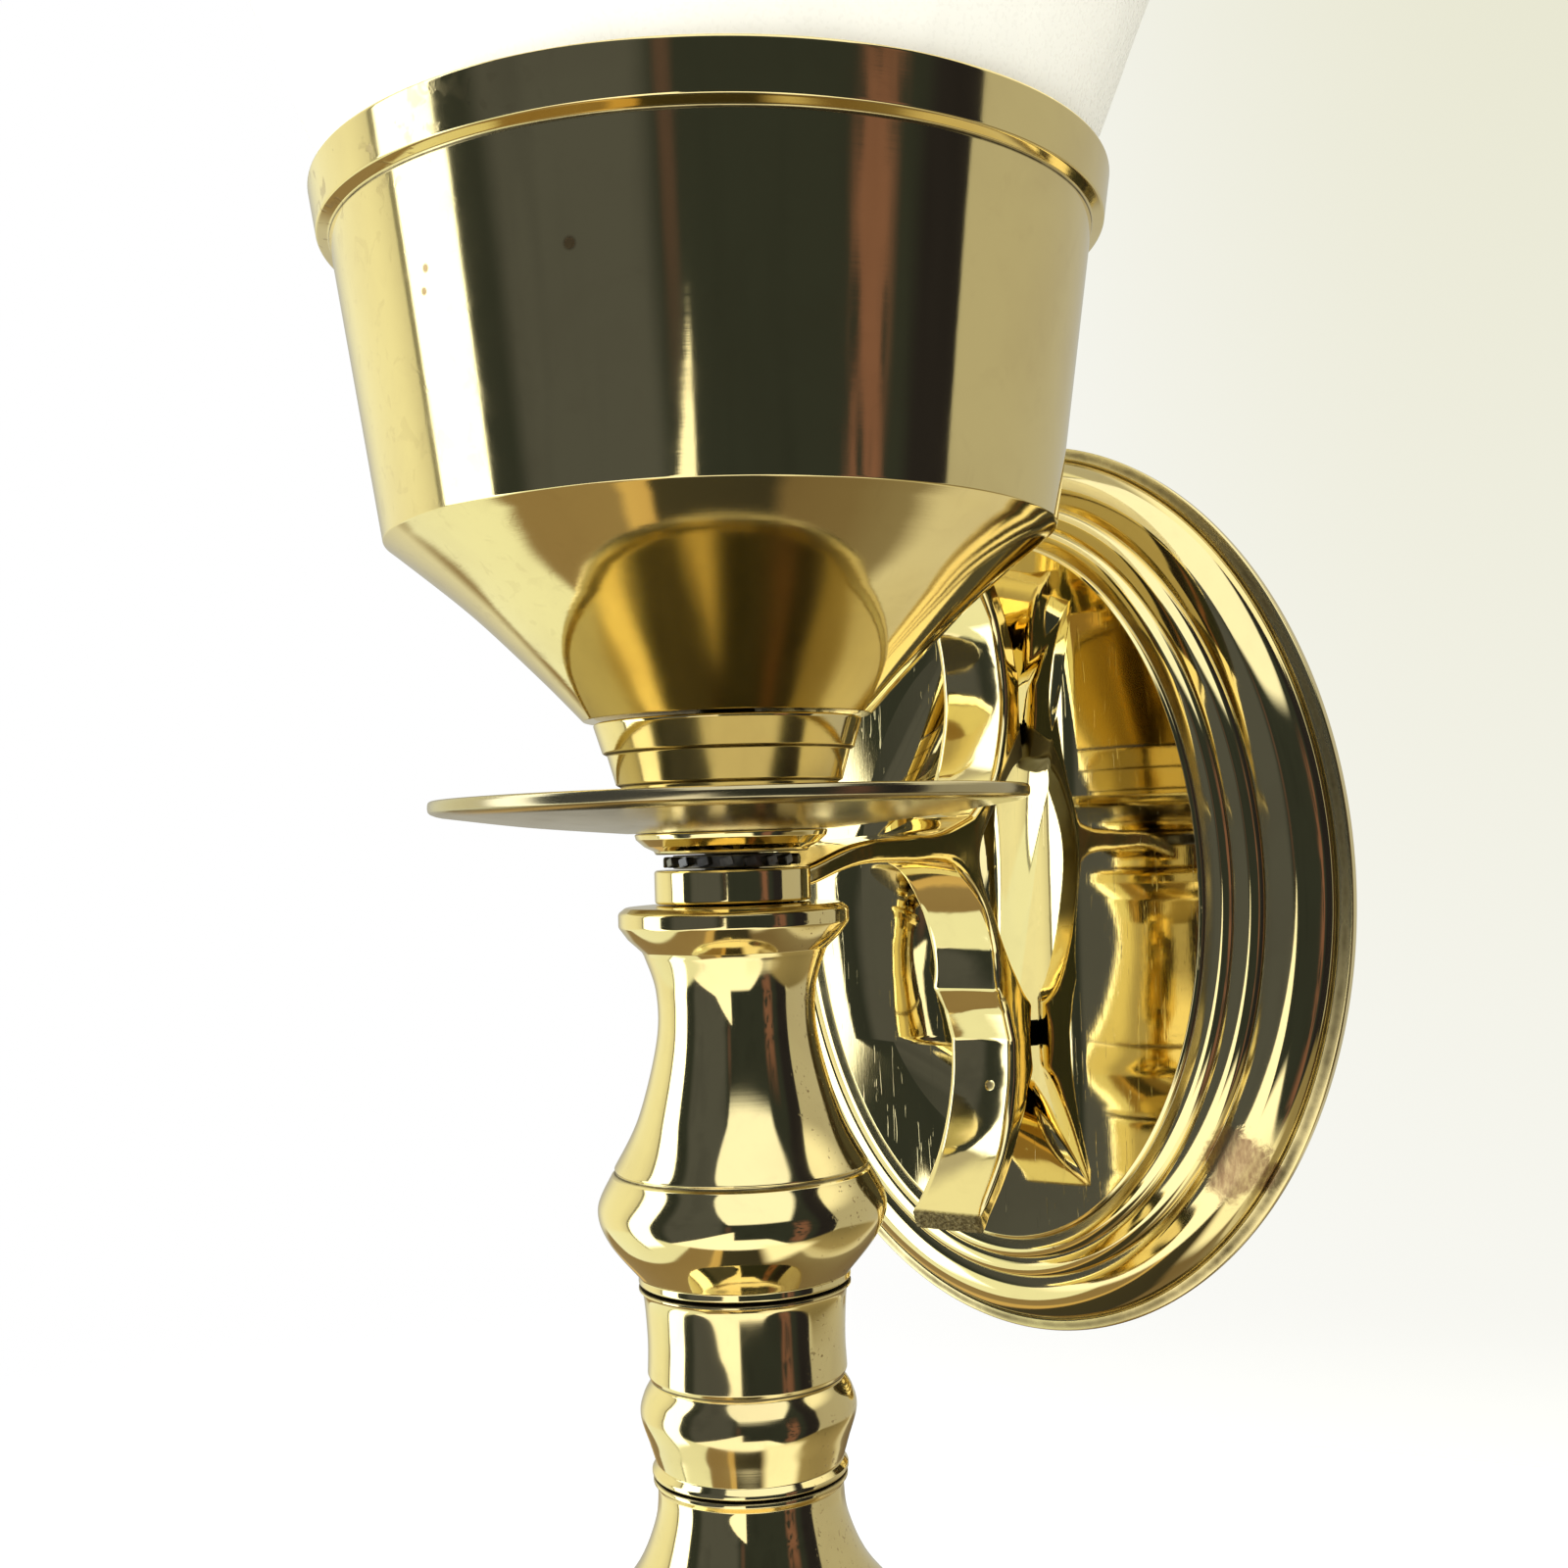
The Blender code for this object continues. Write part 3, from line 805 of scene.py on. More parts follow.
def bracket_outline():
    """The wishbone's side outline as (y, z), and the share of cupping of each point."""
    foot = 11.5
    upper_top = curve([(-72, 4.2), (-66, 5.2), (-56, 7.3), (-43, 7.9), (-34.4, 8.4), (-26.7, 10.3)], 12)
    upper_bow = [(-26.7, 10.3), (-20.6, 14.6), (-17.2, 21), (-16.2, 28), (-18.5, 36.4), (-25.6, 44.2)]
    upper_front = curve(upper_bow, 12)
    upper_tip = [(-24.7, 45.8), (-22.4, 45.5)]
    upper_back = curve([(-22.4, 45.5), (-17.6, 41.6), (-13.6, 35.6), (-foot, 29)], 10)
    gap_edge = curve([(-foot, 18.2), (-17.6, 13.4), (-24.9, 4.8), (-20.4, -5), (-foot, -16.0)], 12)
    lower_back = curve([(-foot, -25), (-14.8, -31.5), (-21.2, -38.8), (-28.4, -44.2)], 10)
    lower_front = curve([(-29.4, -42.0), (-21.9, -35), (-18.2, -27), (-17.4, -20.7)], 12)
    creases = [(-19.2, -16.4)]
    root = curve([(-21.4, -13.1), (-21.8, -7.5), (-25.6, -0.8), (-33.0, 3.9), (-43, 4.5)], 12)
    under = curve([(-43, 4.5), (-56, 4.5), (-66, 2.7), (-74, 1.5)], 10)
    parts = [
        (upper_top[:-1], 0.0),
        (upper_front, 1.0),
        (upper_tip[:-1], 0.0),
        (upper_back, 0.0),
        (gap_edge, 0.0),
        (lower_back, 0.0),
        (lower_front, 1.0),
        (creases, 1.0),
        (root[:-1], 0.5),
        (under, 0.0),
    ]
    points = [point for run, _ in parts for point in run]
    cups = [cup for run, cup in parts for _ in run]
    return points, cups


def even_outline(points, cups, step):
    """The outline with points added so that none lie further apart than step."""
    found, found_cups = [], []
    count = len(points)
    for here in range(count):
        there = (here + 1) % count
        start, end = Vector(points[here]), Vector(points[there])
        parts = max(1, math.ceil((end - start).length / step))
        for part in range(parts):
            share = part / parts
            found.append(start.lerp(end, share))
            found_cups.append(cups[here] + (cups[there] - cups[here]) * share)
    return found, found_cups


def inward_normals(points):
    """Unit normals of a closed outline, pointing into its material."""
    count = len(points)
    area = sum(start.cross(end) for start, end in zip(points, [*points[1:], points[0]]))
    side = 1 if area > 0 else -1
    normals = []
    for here in range(count):
        along = (points[(here + 1) % count] - points[here]).normalized()
        along += (points[here] - points[here - 1]).normalized()
        normals.append(Vector((-along.y, along.x)).normalized() * side)
    return normals


def bevel_shares(points, normals, deepest):
    """How much of the deepest bevel each point can take before the outline crosses itself."""
    shares = []
    for point, normal in zip(points, normals):
        room = deepest / 0.6
        for other in points:
            across = other - point
            facing = across.dot(normal)
            if facing > 1e-4:
                room = min(room, across.length_squared / (2 * facing))
        shares.append(min(1.0, 0.6 * room / deepest))
    count = len(points)
    lowest = [min(shares[(here + step) % count] for step in range(-3, 4)) for here in range(count)]
    return [sum(lowest[(here + step) % count] for step in range(-2, 3)) / 5 for here in range(count)]


class SCONCE_OT_bracket(bpy.types.Operator):
    """Add the cast wishbone bracket with its eye"""

    bl_idname = "sconce.bracket"
    bl_label = "Bracket"

    def execute(self, context):
        sizes = context.scene.sconce_bracket
        half = sizes.width / 2 / MM
        bevel, cupping, wave = (value / MM for value in (sizes.bevel, sizes.cupping, sizes.waviness))
        points, cups = even_outline(*bracket_outline(), 0.6)
        normals = inward_normals(points)
        shares = bevel_shares(points, normals, bevel + 0.35)
        bend = [(half, bevel + 0.35), (half, bevel)]
        for step in range(1, 7):
            angle = math.radians(90 - 15 * step)
            bend.append((half - bevel + bevel * math.sin(angle), bevel * (1 - math.cos(angle))))
        middle = [(half - bevel - 0.15, 0.0)]
        inner = [(x, 0.0) for x in (3.0, 2.0, 1.0, 0.0)]
        right = bend + middle + inner
        stations = right + [(-x, inset) for x, inset in reversed(right[:-1])]
        shape = bmesh.new()
        rings = []
        for x, inset in stations:
            ring = []
            for point, normal, cup, share in zip(points, normals, cups, shares):
                hollow = cupping * cup * share * max(0.0, 1 - (x / (half - bevel)) ** 2)
                seat = min(1.0, max(0.0, (-11.9 - point.x) / 1.5))
                ripple_place = Vector((x * 0.16, point.x * 0.17, point.y * 0.17))
                ripple = noise.noise(ripple_place + Vector((3.1, 0.4, 7.7)))
                shift = inset * share + (hollow + wave * share * (ripple + 0.6)) * seat
                spot = point + normal * shift
                uneven = noise.noise(Vector((point.x * 0.11, point.y * 0.11, 2.0)))
                side = 1 + 0.018 * uneven * seat - 0.012 * seat
                ring.append(shape.verts.new((x * side * MM, spot.x * MM, spot.y * MM)))
            rings.append(ring)
        joined(shape, rings)
        bmesh.ops.triangulate(shape, faces=[face for face in shape.faces if len(face.verts) > 4])
        mesh = mesh_from(shape, "bracket_casting")
        mesh.shade_smooth()
        material = bracket_brass("bracket_brass")
        mesh.materials.append(material)
        arm = link("bracket_casting", mesh)
        eye_low, eye_high = 1.2, 4.9
        rim = [(2.0, eye_high), (8.6, eye_high), (8.6, eye_low), (2.0, eye_low)]
        eye = turned("eye", soften(rim, 0.35), material, 144)
        combine(arm, eye, "UNION")
        ends = (0, -REACH, eye_low - 3), (0, -REACH, eye_high + 3)
        combine(arm, drill(3.5, *ends, segments=96), "DIFFERENCE")
        for height in SCREW_HEIGHTS:
            combine(arm, drill(SCREW_BORE, (0, -9.0, height), (0, -15.6, height)), "DIFFERENCE")
        outward(arm.data, 2e-6)
        arm.data.set_sharp_from_angle(angle=math.radians(38))
        finish_piece(arm, WALL_BODY, "polished_brass", "bracket_arm")
        return {"FINISHED"}


def strap_mesh(name):
    """The bent strap with its rounded ends and edges, before its holes."""
    thick, seat = 1.5, 9.2
    on_wall, on_plate = -thick / 2, -(seat - thick / 2)
    top, bottom = SCREW_HEIGHTS
    line = [(on_plate, top + 5.0), (on_plate, top - 5.1), (on_wall, top - 7.8)]
    line += [(on_wall, bottom + 8.3), (on_plate, bottom + 5.4), (on_plate, bottom - 4.8)]
    line = soften(line, 1.3, closed=False, steps=8)
    path = []
    for start, end in zip(line, line[1:]):
        parts = max(1, math.ceil(math.dist(start, end) / 0.8))
        path += [Vector(start).lerp(Vector(end), part / parts) for part in range(parts)]
    path.append(Vector(line[-1]))
    half, edge = 7.0, 0.3
    corners = [(half, thick / 2), (-half, thick / 2), (-half, -thick / 2), (half, -thick / 2)]
    section = soften(corners, edge, steps=4)
    shape = bmesh.new()
    rings = []
    for here, point in enumerate(path):
        ahead = path[min(here + 1, len(path) - 1)] - path[max(here - 1, 0)]
        normal = Vector((-ahead.y, ahead.x)).normalized()
        ring = []
        for across, out in section:
            spot = point + normal * out
            ring.append(shape.verts.new((across * MM, spot.x * MM, spot.y * MM)))
        rings.append(ring)
    joined(shape, rings)
    return mesh_from(shape, name)


class SCONCE_OT_hanger_strap(bpy.types.Operator):
    """Add the bent hanger strap with its keyhole"""

    bl_idname = "sconce.hanger_strap"
    bl_label = "Hanger Strap"

    def execute(self, context):
        mesh = strap_mesh("hanger_strap_steel")
        mesh.materials.append(dark_steel("strap_steel", 1.7))
        strap = link("hanger_strap_steel", mesh)
        keyhole, slot_top = 6.4, 10.6
        combine(strap, drill(3.9, (0, -4, keyhole), (0, 3, keyhole), 64), "DIFFERENCE")
        combine(strap, drill(2.1, (0, -4.5, slot_top), (0, 3.5, slot_top)), "DIFFERENCE")
        for height in SCREW_HEIGHTS:
            combine(strap, drill(SCREW_BORE, (0, -13, height), (0, -5, height)), "DIFFERENCE")
        strap.data.shade_smooth()
        strap.data.set_sharp_from_angle(angle=math.radians(40))
        finish_piece(strap, WALL_BODY, "dark_steel", "hanger_strap")
        return {"FINISHED"}


def copies_tree():
    """Puts a copy of an object's mesh on each point, turned by a seeded angle about Y."""
    sockets = [
        ("Copy", "NodeSocketObject"),
        ("Material", "NodeSocketMaterial"),
        ("Seed", "NodeSocketInt"),
    ]
    tree, graph, given = new_tree("Fastener Copies", sockets)
    shape = graph.socket("GeometryNodeObjectInfo", None, {"Object": given["Copy"]}, "Geometry")
    settings = {"data_type": "FLOAT"}
    values = {2: -1.3, 3: 1.3, "Seed": given["Seed"]}
    turn = graph.value("FunctionNodeRandomValue", settings, values, 1)
    angles = graph.join(0.0, turn, 0.0)
    values = {"Points": given["Geometry"], "Instance": shape, "Rotation": angles}
    placed = graph.socket("GeometryNodeInstanceOnPoints", None, values)
    end_tree(graph, placed, given["Material"])
    return tree


def along_wall(profile):
    """A turned shape about the Y axis from a profile of (radius, distance off the wall)."""
    shape = turned("copy", profile, None, 72, 0.0)
    shape.data.transform(Matrix.Rotation(math.radians(90), 4, "X"))
    return shape


def copied(name, shape, heights, material, seed):
    """One mesh with the shape at each height behind the plate."""
    points = bpy.data.meshes.new(name)
    points.from_pydata([(0, 0, height * MM) for height in heights], [], [])
    obj = link(name, points)
    tree = bpy.data.node_groups.get("Fastener Copies") or copies_tree()
    add_nodes(obj, tree, {"Copy": shape, "Material": material, "Seed": seed})
    baked(obj)
    bpy.data.objects.remove(shape, do_unlink=True)
    obj.data.shade_smooth()
    obj.data.set_sharp_from_angle(angle=math.radians(40))
    return obj


class SCONCE_OT_foot_fasteners(bpy.types.Operator):
    """Add the two screws and washers behind the plate"""

    bl_idname = "sconce.foot_fasteners"
    bl_label = "Foot Fasteners"

    def execute(self, context):
        steel = dark_steel("fastener_steel", 4.1)
        head = curve([(1.6, 3.92), (2.9, 4.2), (3.6, 4.9), (3.7, 5.6)], 5)
        pitch = 0.7
        thread = []
        for turn in reversed(range(12)):
            start = 15.0 - turn * pitch
            thread += [(1.88, start - pitch / 2), (1.62, start)]
        profile = [(0, 3.9), *head, (3.7, 6.3), (1.62, 6.3), *thread, (1.4, 15.2), (0, 15.2)]
        screw = along_wall(profile)
        outward(screw.data)
        slot = drill(0.55, (-6, -3.5, 0), (6, -3.5, 0), 4)
        slot.data.transform(Matrix.Translation((0, -0.35 * MM, 0)))
        combine(screw, slot, "DIFFERENCE")
        screws = copied("foot_screws_slotted", screw, SCREW_HEIGHTS, steel, 5)
        finish_piece(screws, WALL_BODY, "dark_steel", "upper_foot_screw", "lower_foot_screw")

        ring = soften([(SCREW_BORE, 7.4), (4.1, 7.4), (4.1, 6.6), (SCREW_BORE, 6.6)], 0.12, steps=3)
        washer = along_wall(ring)
        outward(washer.data)
        washers = copied("foot_washers_flat", washer, SCREW_HEIGHTS, steel, 2)
        finish_piece(washers, WALL_BODY, "dark_steel", "upper_foot_washer", "lower_foot_washer")
        return {"FINISHED"}


# Candlestick


class SCONCE_OT_cup(bpy.types.Operator):
    """Add the spun cup with its proud rim band"""

    bl_idname = "sconce.cup"
    bl_label = "Cup"

    def execute(self, context):
        band = [(42.1, 79), (43.7, 78.6), (42.95, 73.6), (41.6, 73.2)]
        drum = [(41.5, 72.6), (36.8, 41.0)]
        cone = curve([(35.9, 40.3), (27.9, 33.6), (20.4, 26.2), (15.9, 21.4)], 12)
        floor = [(ROD_BORE, 21.4), (ROD_BORE, 22.7), (15.0, 22.7)]
        inner = curve([(19.4, 27.2), (27.0, 35.0), (35.3, 42.2), (37.6, 54), (38.9, 65), (40.8, 73)], 6)
        profile = soften(band + drum + cone + floor + inner, 0.3)
        spots = [(15.75, 62.3, 0.8), (-8.25, 63.0, 0.55), (-9.25, 61.0, 0.5)]
        material = turned_brass("cup_brass", 0.3, (73.0,), spots, freckled=0.8)
        turned_piece("cup_spun", profile, material, "cup")
        return {"FINISHED"}


class SCONCE_OT_shade(bpy.types.Operator):
    """Add the opal glass shade and the felt ring under it"""

    bl_idname = "sconce.shade"
    bl_label = "Shade"

    def execute(self, context):
        wall = 2.2
        outer = curve(
            [(40.2, 234), (38.4, 222), (41.0, 200), (48.6, 172), (55.2, 148), (56.0, 128)]
            + [(52.6, 109), (46.4, 92.5), (41.3, 79), (37.0, 61), (34.4, 44.2)],
            10,
        )
        inner = [(radius - wall, height) for radius, height in reversed(outer)]
        shade = turned("glass_shade_opal", soften(outer + inner, 1.05), opal_glass("opal_glass_blown"))
        finish_piece(shade, SHADE_BODY, "opal_glass", "glass_shade")
        ring = soften([(34.9, 43.9), (34.9, 42.5), (31.2, 39.2), (31.2, 43.9)], 0.5)
        felt = pressed_felt("pressed_felt")
        turned_piece("shade_seat_felt_ring", ring, felt, "shade_seat_felt", "felt")
        return {"FINISHED"}


class SCONCE_OT_candle_socket(bpy.types.Operator):
    """Add the candle socket in the cup"""

    bl_idname = "sconce.candle_socket"
    bl_label = "Candle Socket"

    def execute(self, context):
        lip = [(11.2, 60), (15.4, 60), (15.6, 59.3), (12.9, 57.8)]
        body = [(12.6, 31), (11.2, 28.7), (ROD_BORE, 28.7), (ROD_BORE, 33.8)]
        core = [(1.2, 34.4), (1.2, 36), (11.2, 36)]
        material = turned_brass("socket_brass", 1.9, (57.6, 36.2), dull=0.6)
        segments = context.scene.sconce_turning.small_segments
        profile = soften(lip + body + core, 0.3)
        turned_piece("candle_socket_turned", profile, material, "candle_socket", segments=segments)
        return {"FINISHED"}


class SCONCE_OT_neck_and_pan(bpy.types.Operator):
    """Add the stepped neck, the drip pan and its hub"""

    bl_idname = "sconce.neck_and_pan"
    bl_label = "Neck and Drip Pan"

    def execute(self, context):
        rings = [(14.9, 21.1), (13.9, 17.85), (13.4, 17.6), (12.5, 14.35), (12.0, 14.1), (11.0, 10.9)]
        material = turned_brass("neck_brass", 2.7, (17.7, 14.2), dull=0.4)
        profile = soften([(ROD_BORE, 21.1), *rings, (ROD_BORE, 10.9)], 0.25)
        turned_piece("stepped_neck_turned", profile, material, "stepped_neck")

        lip = curve([(31.9, 13.1), (32.75, 13.0), (32.8, 11.9), (32.0, 11.45)], 3)
        under = curve([(31.4, 11.3), (22, 10), (11.5, 9.0)], 10)
        over = curve([(12, 10.6), (22, 11.2), (31.4, 12.4)], 10)
        profile = soften([*lip, *under, (ROD_BORE, 9.0), (ROD_BORE, 10.6), *over], 0.3)
        material = turned_brass("pan_brass", 3.6, (), dull=0.5, faded=0.75)
        turned_piece("drip_pan_spun", profile, material, "drip_pan")

        rings = [(10.7, 8.95), (10.5, 8.3), (9.6, 7.5), (8.6, 7.0), (8.35, 6.6)]
        material = turned_brass("hub_brass", 4.2, (6.7,), dull=0.9)
        profile = soften([(ROD_BORE, 8.95), *rings, (ROD_BORE, 6.6)], 0.2)
        turned_piece("pan_hub_turned", profile, material, "pan_hub", segments=144)
        return {"FINISHED"}


class SCONCE_OT_stem(bpy.types.Operator):
    """Add the three turned sections of the stem"""

    bl_idname = "sconce.stem"
    bl_label = "Stem"

    def execute(self, context):
        top = [(ROD_BORE, 1.12), (8.8, 1.12), (11.9, 0.9)]
        ring = soften([*top, (12.7, 0.3), (12.7, -1.2), (11.7, -2.6), (10.2, -4.0)], 0.6, False)
        neck = curve([(10.0, -4.4), (8.8, -8.4), (8.9, -13.8), (11.1, -22), (13.9, -27.4)], 14)
        bulge = curve([(14.2, -28.1), (15.8, -31.6), (14.8, -35), (11.6, -39.0)], 14)
        outline = ring + neck + [(13.75, -27.75)] + bulge + [(11.6, -39.9), (ROD_BORE, -39.9)]
        material = turned_brass("baluster_brass", 5.1, (-27.8, -39.9), speckled=1.0, dull=0.45)
        turned_piece("upper_baluster_turned", soften(outline, 0.3), material, "upper_baluster")

        neck = curve([(11.6, -40.5), (11.1, -41.4), (10.8, -46), (10.9, -49.6)], 10)
        bead = curve([(10.5, -50.5), (11.4, -52), (11.8, -54), (10.9, -57), (10.2, -59.3)], 10)
        foot = [(10.7, -59.9), (10.7, -60.4), (ROD_BORE, -60.4)]
        outline = [(ROD_BORE, -40.2), (11.6, -40.2), *neck, *bead, *foot]
        material = turned_brass("spindle_brass", 6.4, (-40.2, -50.1, -60.4), speckled=0.8, dull=0.5)
        turned_piece("middle_spindle_turned", soften(outline, 0.3), material, "middle_spindle")

        widening = [(12.6, -70.6), (16.4, -75.2), (21.6, -80.2), (25, -83.4)]
        flare = curve([(10.1, -61.8), (10.5, -65.6), *widening], 12)
        lip = [(26, -84.6), (26, -87), (24.2, -87)]
        hollow = curve([(23.8, -85.6), (19.4, -81.2), (13.6, -75.2), (ROD_BORE, -73.4)], 8)
        outline = [(ROD_BORE, -60.7), (10.6, -60.7), (10.6, -61.2), *flare, *lip, *hollow]
        material = turned_brass("foot_brass", 7.7, (-60.7,), speckled=0.6, dull=0.5)
        turned_piece("trumpet_foot_turned", soften(outline, 0.3), material, "trumpet_foot")
        return {"FINISHED"}


class SCONCE_OT_foot_cap_and_finial(bpy.types.Operator):
    """Add the cap under the trumpet foot and the finial"""

    bl_idname = "sconce.foot_cap_and_finial"
    bl_label = "Foot Cap and Finial"

    def execute(self, context):
        dome = curve([(25.0, -88.8), (24.0, -89.2), (17, -90.4), (10.6, -91.4), (7.6, -92.6)], 10)
        outline = [(ROD_BORE, -87.3), (25.2, -87.3), *dome, (ROD_BORE, -92.6)]
        material = turned_brass("cap_brass", 8.3, (-87.3,), dull=0.5)
        turned_piece("foot_cap_spun", soften(outline, 0.3), material, "foot_cap")

        collar = soften([(ROD_BORE, -92.9), (7.2, -92.9), (7.2, -94.2), (4.7, -95.4)], 0.3, False)
        tip = [(3.2, -105.6), (1.8, -106.6), (0, -108)]
        ball = curve([(4.6, -95.6), (6.4, -98.6), (6.2, -102.6), *tip], 12)
        outline = [(0, -103.8), (ROD_BORE, -103.8), *collar, *ball]
        segments = context.scene.sconce_turning.small_segments
        material = turned_brass("finial_brass", 9.2, (-92.9, -95.5), dull=0.5)
        turned_piece("finial_turned", outline, material, "finial", segments=segments)
        return {"FINISHED"}


def teeth_tree():
    """A flat ring with twisted teeth round its outer edge."""
    sockets = [
        ("Tooth", "NodeSocketObject"),
        ("Teeth", "NodeSocketInt"),
        ("Radius", "NodeSocketFloat"),
        ("Twist", "NodeSocketFloat"),
        ("Material", "NodeSocketMaterial"),
    ]
    tree, graph, given = new_tree("Toothed Washer", sockets)
    values = {"Vertices": given["Teeth"], "Radius": given["Radius"]}
    circle = graph.socket("GeometryNodeMeshCircle", None, values)
    index = graph.value("GeometryNodeInputIndex")
    turn = index * TAU / Value(graph, given["Teeth"])
    angles = graph.join(given["Twist"], 0.0, turn)
    tooth = graph.socket("GeometryNodeObjectInfo", None, {"Object": given["Tooth"]}, "Geometry")
    values = {"Points": circle, "Instance": tooth, "Rotation": angles}
    teeth = graph.socket("GeometryNodeInstanceOnPoints", None, values)
    both = graph.node("GeometryNodeJoinGeometry")
    graph.tree.links.new(given["Geometry"], both.inputs[0])
    graph.tree.links.new(teeth, both.inputs[0])
    end_tree(graph, both.outputs[0], given["Material"])
    return tree


class SCONCE_OT_rod_hardware(bpy.types.Operator):
    """Add the rod, its nut and the washers"""

    bl_idname = "sconce.rod_hardware"
    bl_label = "Rod Hardware"

    def execute(self, context):
        steel = dark_steel("rod_steel", 2.4)
        ring = soften([(ROD_BORE, 24.0), (8.6, 24.0), (8.6, 23.0), (ROD_BORE, 23.0)], 0.15, steps=3)
        turned_piece("cup_washer_flat", ring, steel, "cup_washer", "dark_steel", 96)

        shape = bmesh.new()
        place = Matrix.Translation((0, 0, 26.35 * MM))
        corner = 5.8 * MM
        bmesh.ops.create_cone(
            shape,
            cap_ends=True,
            segments=6,
            radius1=corner,
            radius2=corner,
            depth=4.1 * MM,
            matrix=place,
        )
        bmesh.ops.bevel(shape, geom=shape.edges, offset=0.25 * MM, segments=3, affect="EDGES")
        mesh = mesh_from(shape, "cup_nut_hexagon")
        mesh.transform(Matrix.Translation((0, -REACH * MM, 0)))
        mesh.materials.append(steel)
        nut = link("cup_nut_hexagon", mesh)
        combine(nut, drill(ROD_BORE, (0, -REACH, 20), (0, -REACH, 32), 64), "DIFFERENCE")
        nut.data.shade_smooth()
        nut.data.set_sharp_from_angle(angle=math.radians(30))
        finish_piece(nut, STICK_BODY, "dark_steel", "cup_nut")

        shape = bmesh.new()
        tooth_size = Matrix.Diagonal((1.5 * MM, 1.3 * MM, 0.9 * MM, 1.0))
        bmesh.ops.create_cube(shape, size=1.0, matrix=tooth_size)
        bmesh.ops.bevel(shape, geom=shape.edges, offset=0.08 * MM, segments=2, affect="EDGES")
        tooth = link("tooth", mesh_from(shape, "tooth"))
        ring = soften([(ROD_BORE, 0.72), (6.5, 0.72), (6.5, -0.72), (ROD_BORE, -0.72)], 0.1, steps=2)
        lock = turned("eye_lock_washer_toothed", ring, steel, 96, 0.0)
        inputs = {"Tooth": tooth, "Teeth": 18, "Radius": 6.8 * MM, "Twist": math.radians(16)}
        inputs["Material"] = steel
        add_nodes(lock, teeth_tree(), inputs)
        baked(lock)
        lock.data.transform(Matrix.Translation((0, -REACH * MM, 5.75 * MM)))
        bpy.data.objects.remove(tooth, do_unlink=True)
        finish_piece(lock, STICK_BODY, "dark_steel", "eye_lock_washer")

        pitch = 0.8
        rod = [(0, 33.4), (2.5, 33.4)]
        for turn in range(13):
            start = 33.0 - turn * pitch
            rod += [(2.95, start), (2.62, start - pitch / 2)]
        rod += [(3.0, 22.2), (3.0, -92.0)]
        for turn in range(13):
            start = -92.6 - turn * pitch
            rod += [(2.62, start), (2.95, start - pitch / 2)]
        rod += [(2.5, -103.4), (0, -103.4)]
        bar = turned("centre_rod_threaded", rod, steel, 64)
        bar.data.set_sharp_from_angle(angle=math.radians(35))
        finish_piece(bar, STICK_BODY, "dark_steel", "centre_rod")
        return {"FINISHED"}


# Stage

# What lies under the candlestick, from left to right: (share across, colour)
BOARDS = (
    (0.0, (1.0, 1.08, 0.95)),
    (0.215, (1.0, 1.08, 0.95)),
    (0.225, (0.31, 0.23, 0.125)),
    (0.345, (0.33, 0.25, 0.135)),
    (0.36, (0.72, 0.52, 0.22)),
    (0.39, (0.68, 0.48, 0.20)),
    (0.40, (0.06, 0.055, 0.038)),
    (0.575, (0.050, 0.046, 0.034)),
    (0.60, (0.20, 0.15, 0.085)),
    (0.69, (0.22, 0.17, 0.10)),
    (0.755, (0.28, 0.24, 0.16)),
    (0.775, (0.75, 0.72, 0.58)),
    (0.80, (0.72, 0.68, 0.52)),
    (0.83, (0.40, 0.34, 0.20)),
    (1.0, (0.20, 0.17, 0.10)),
)


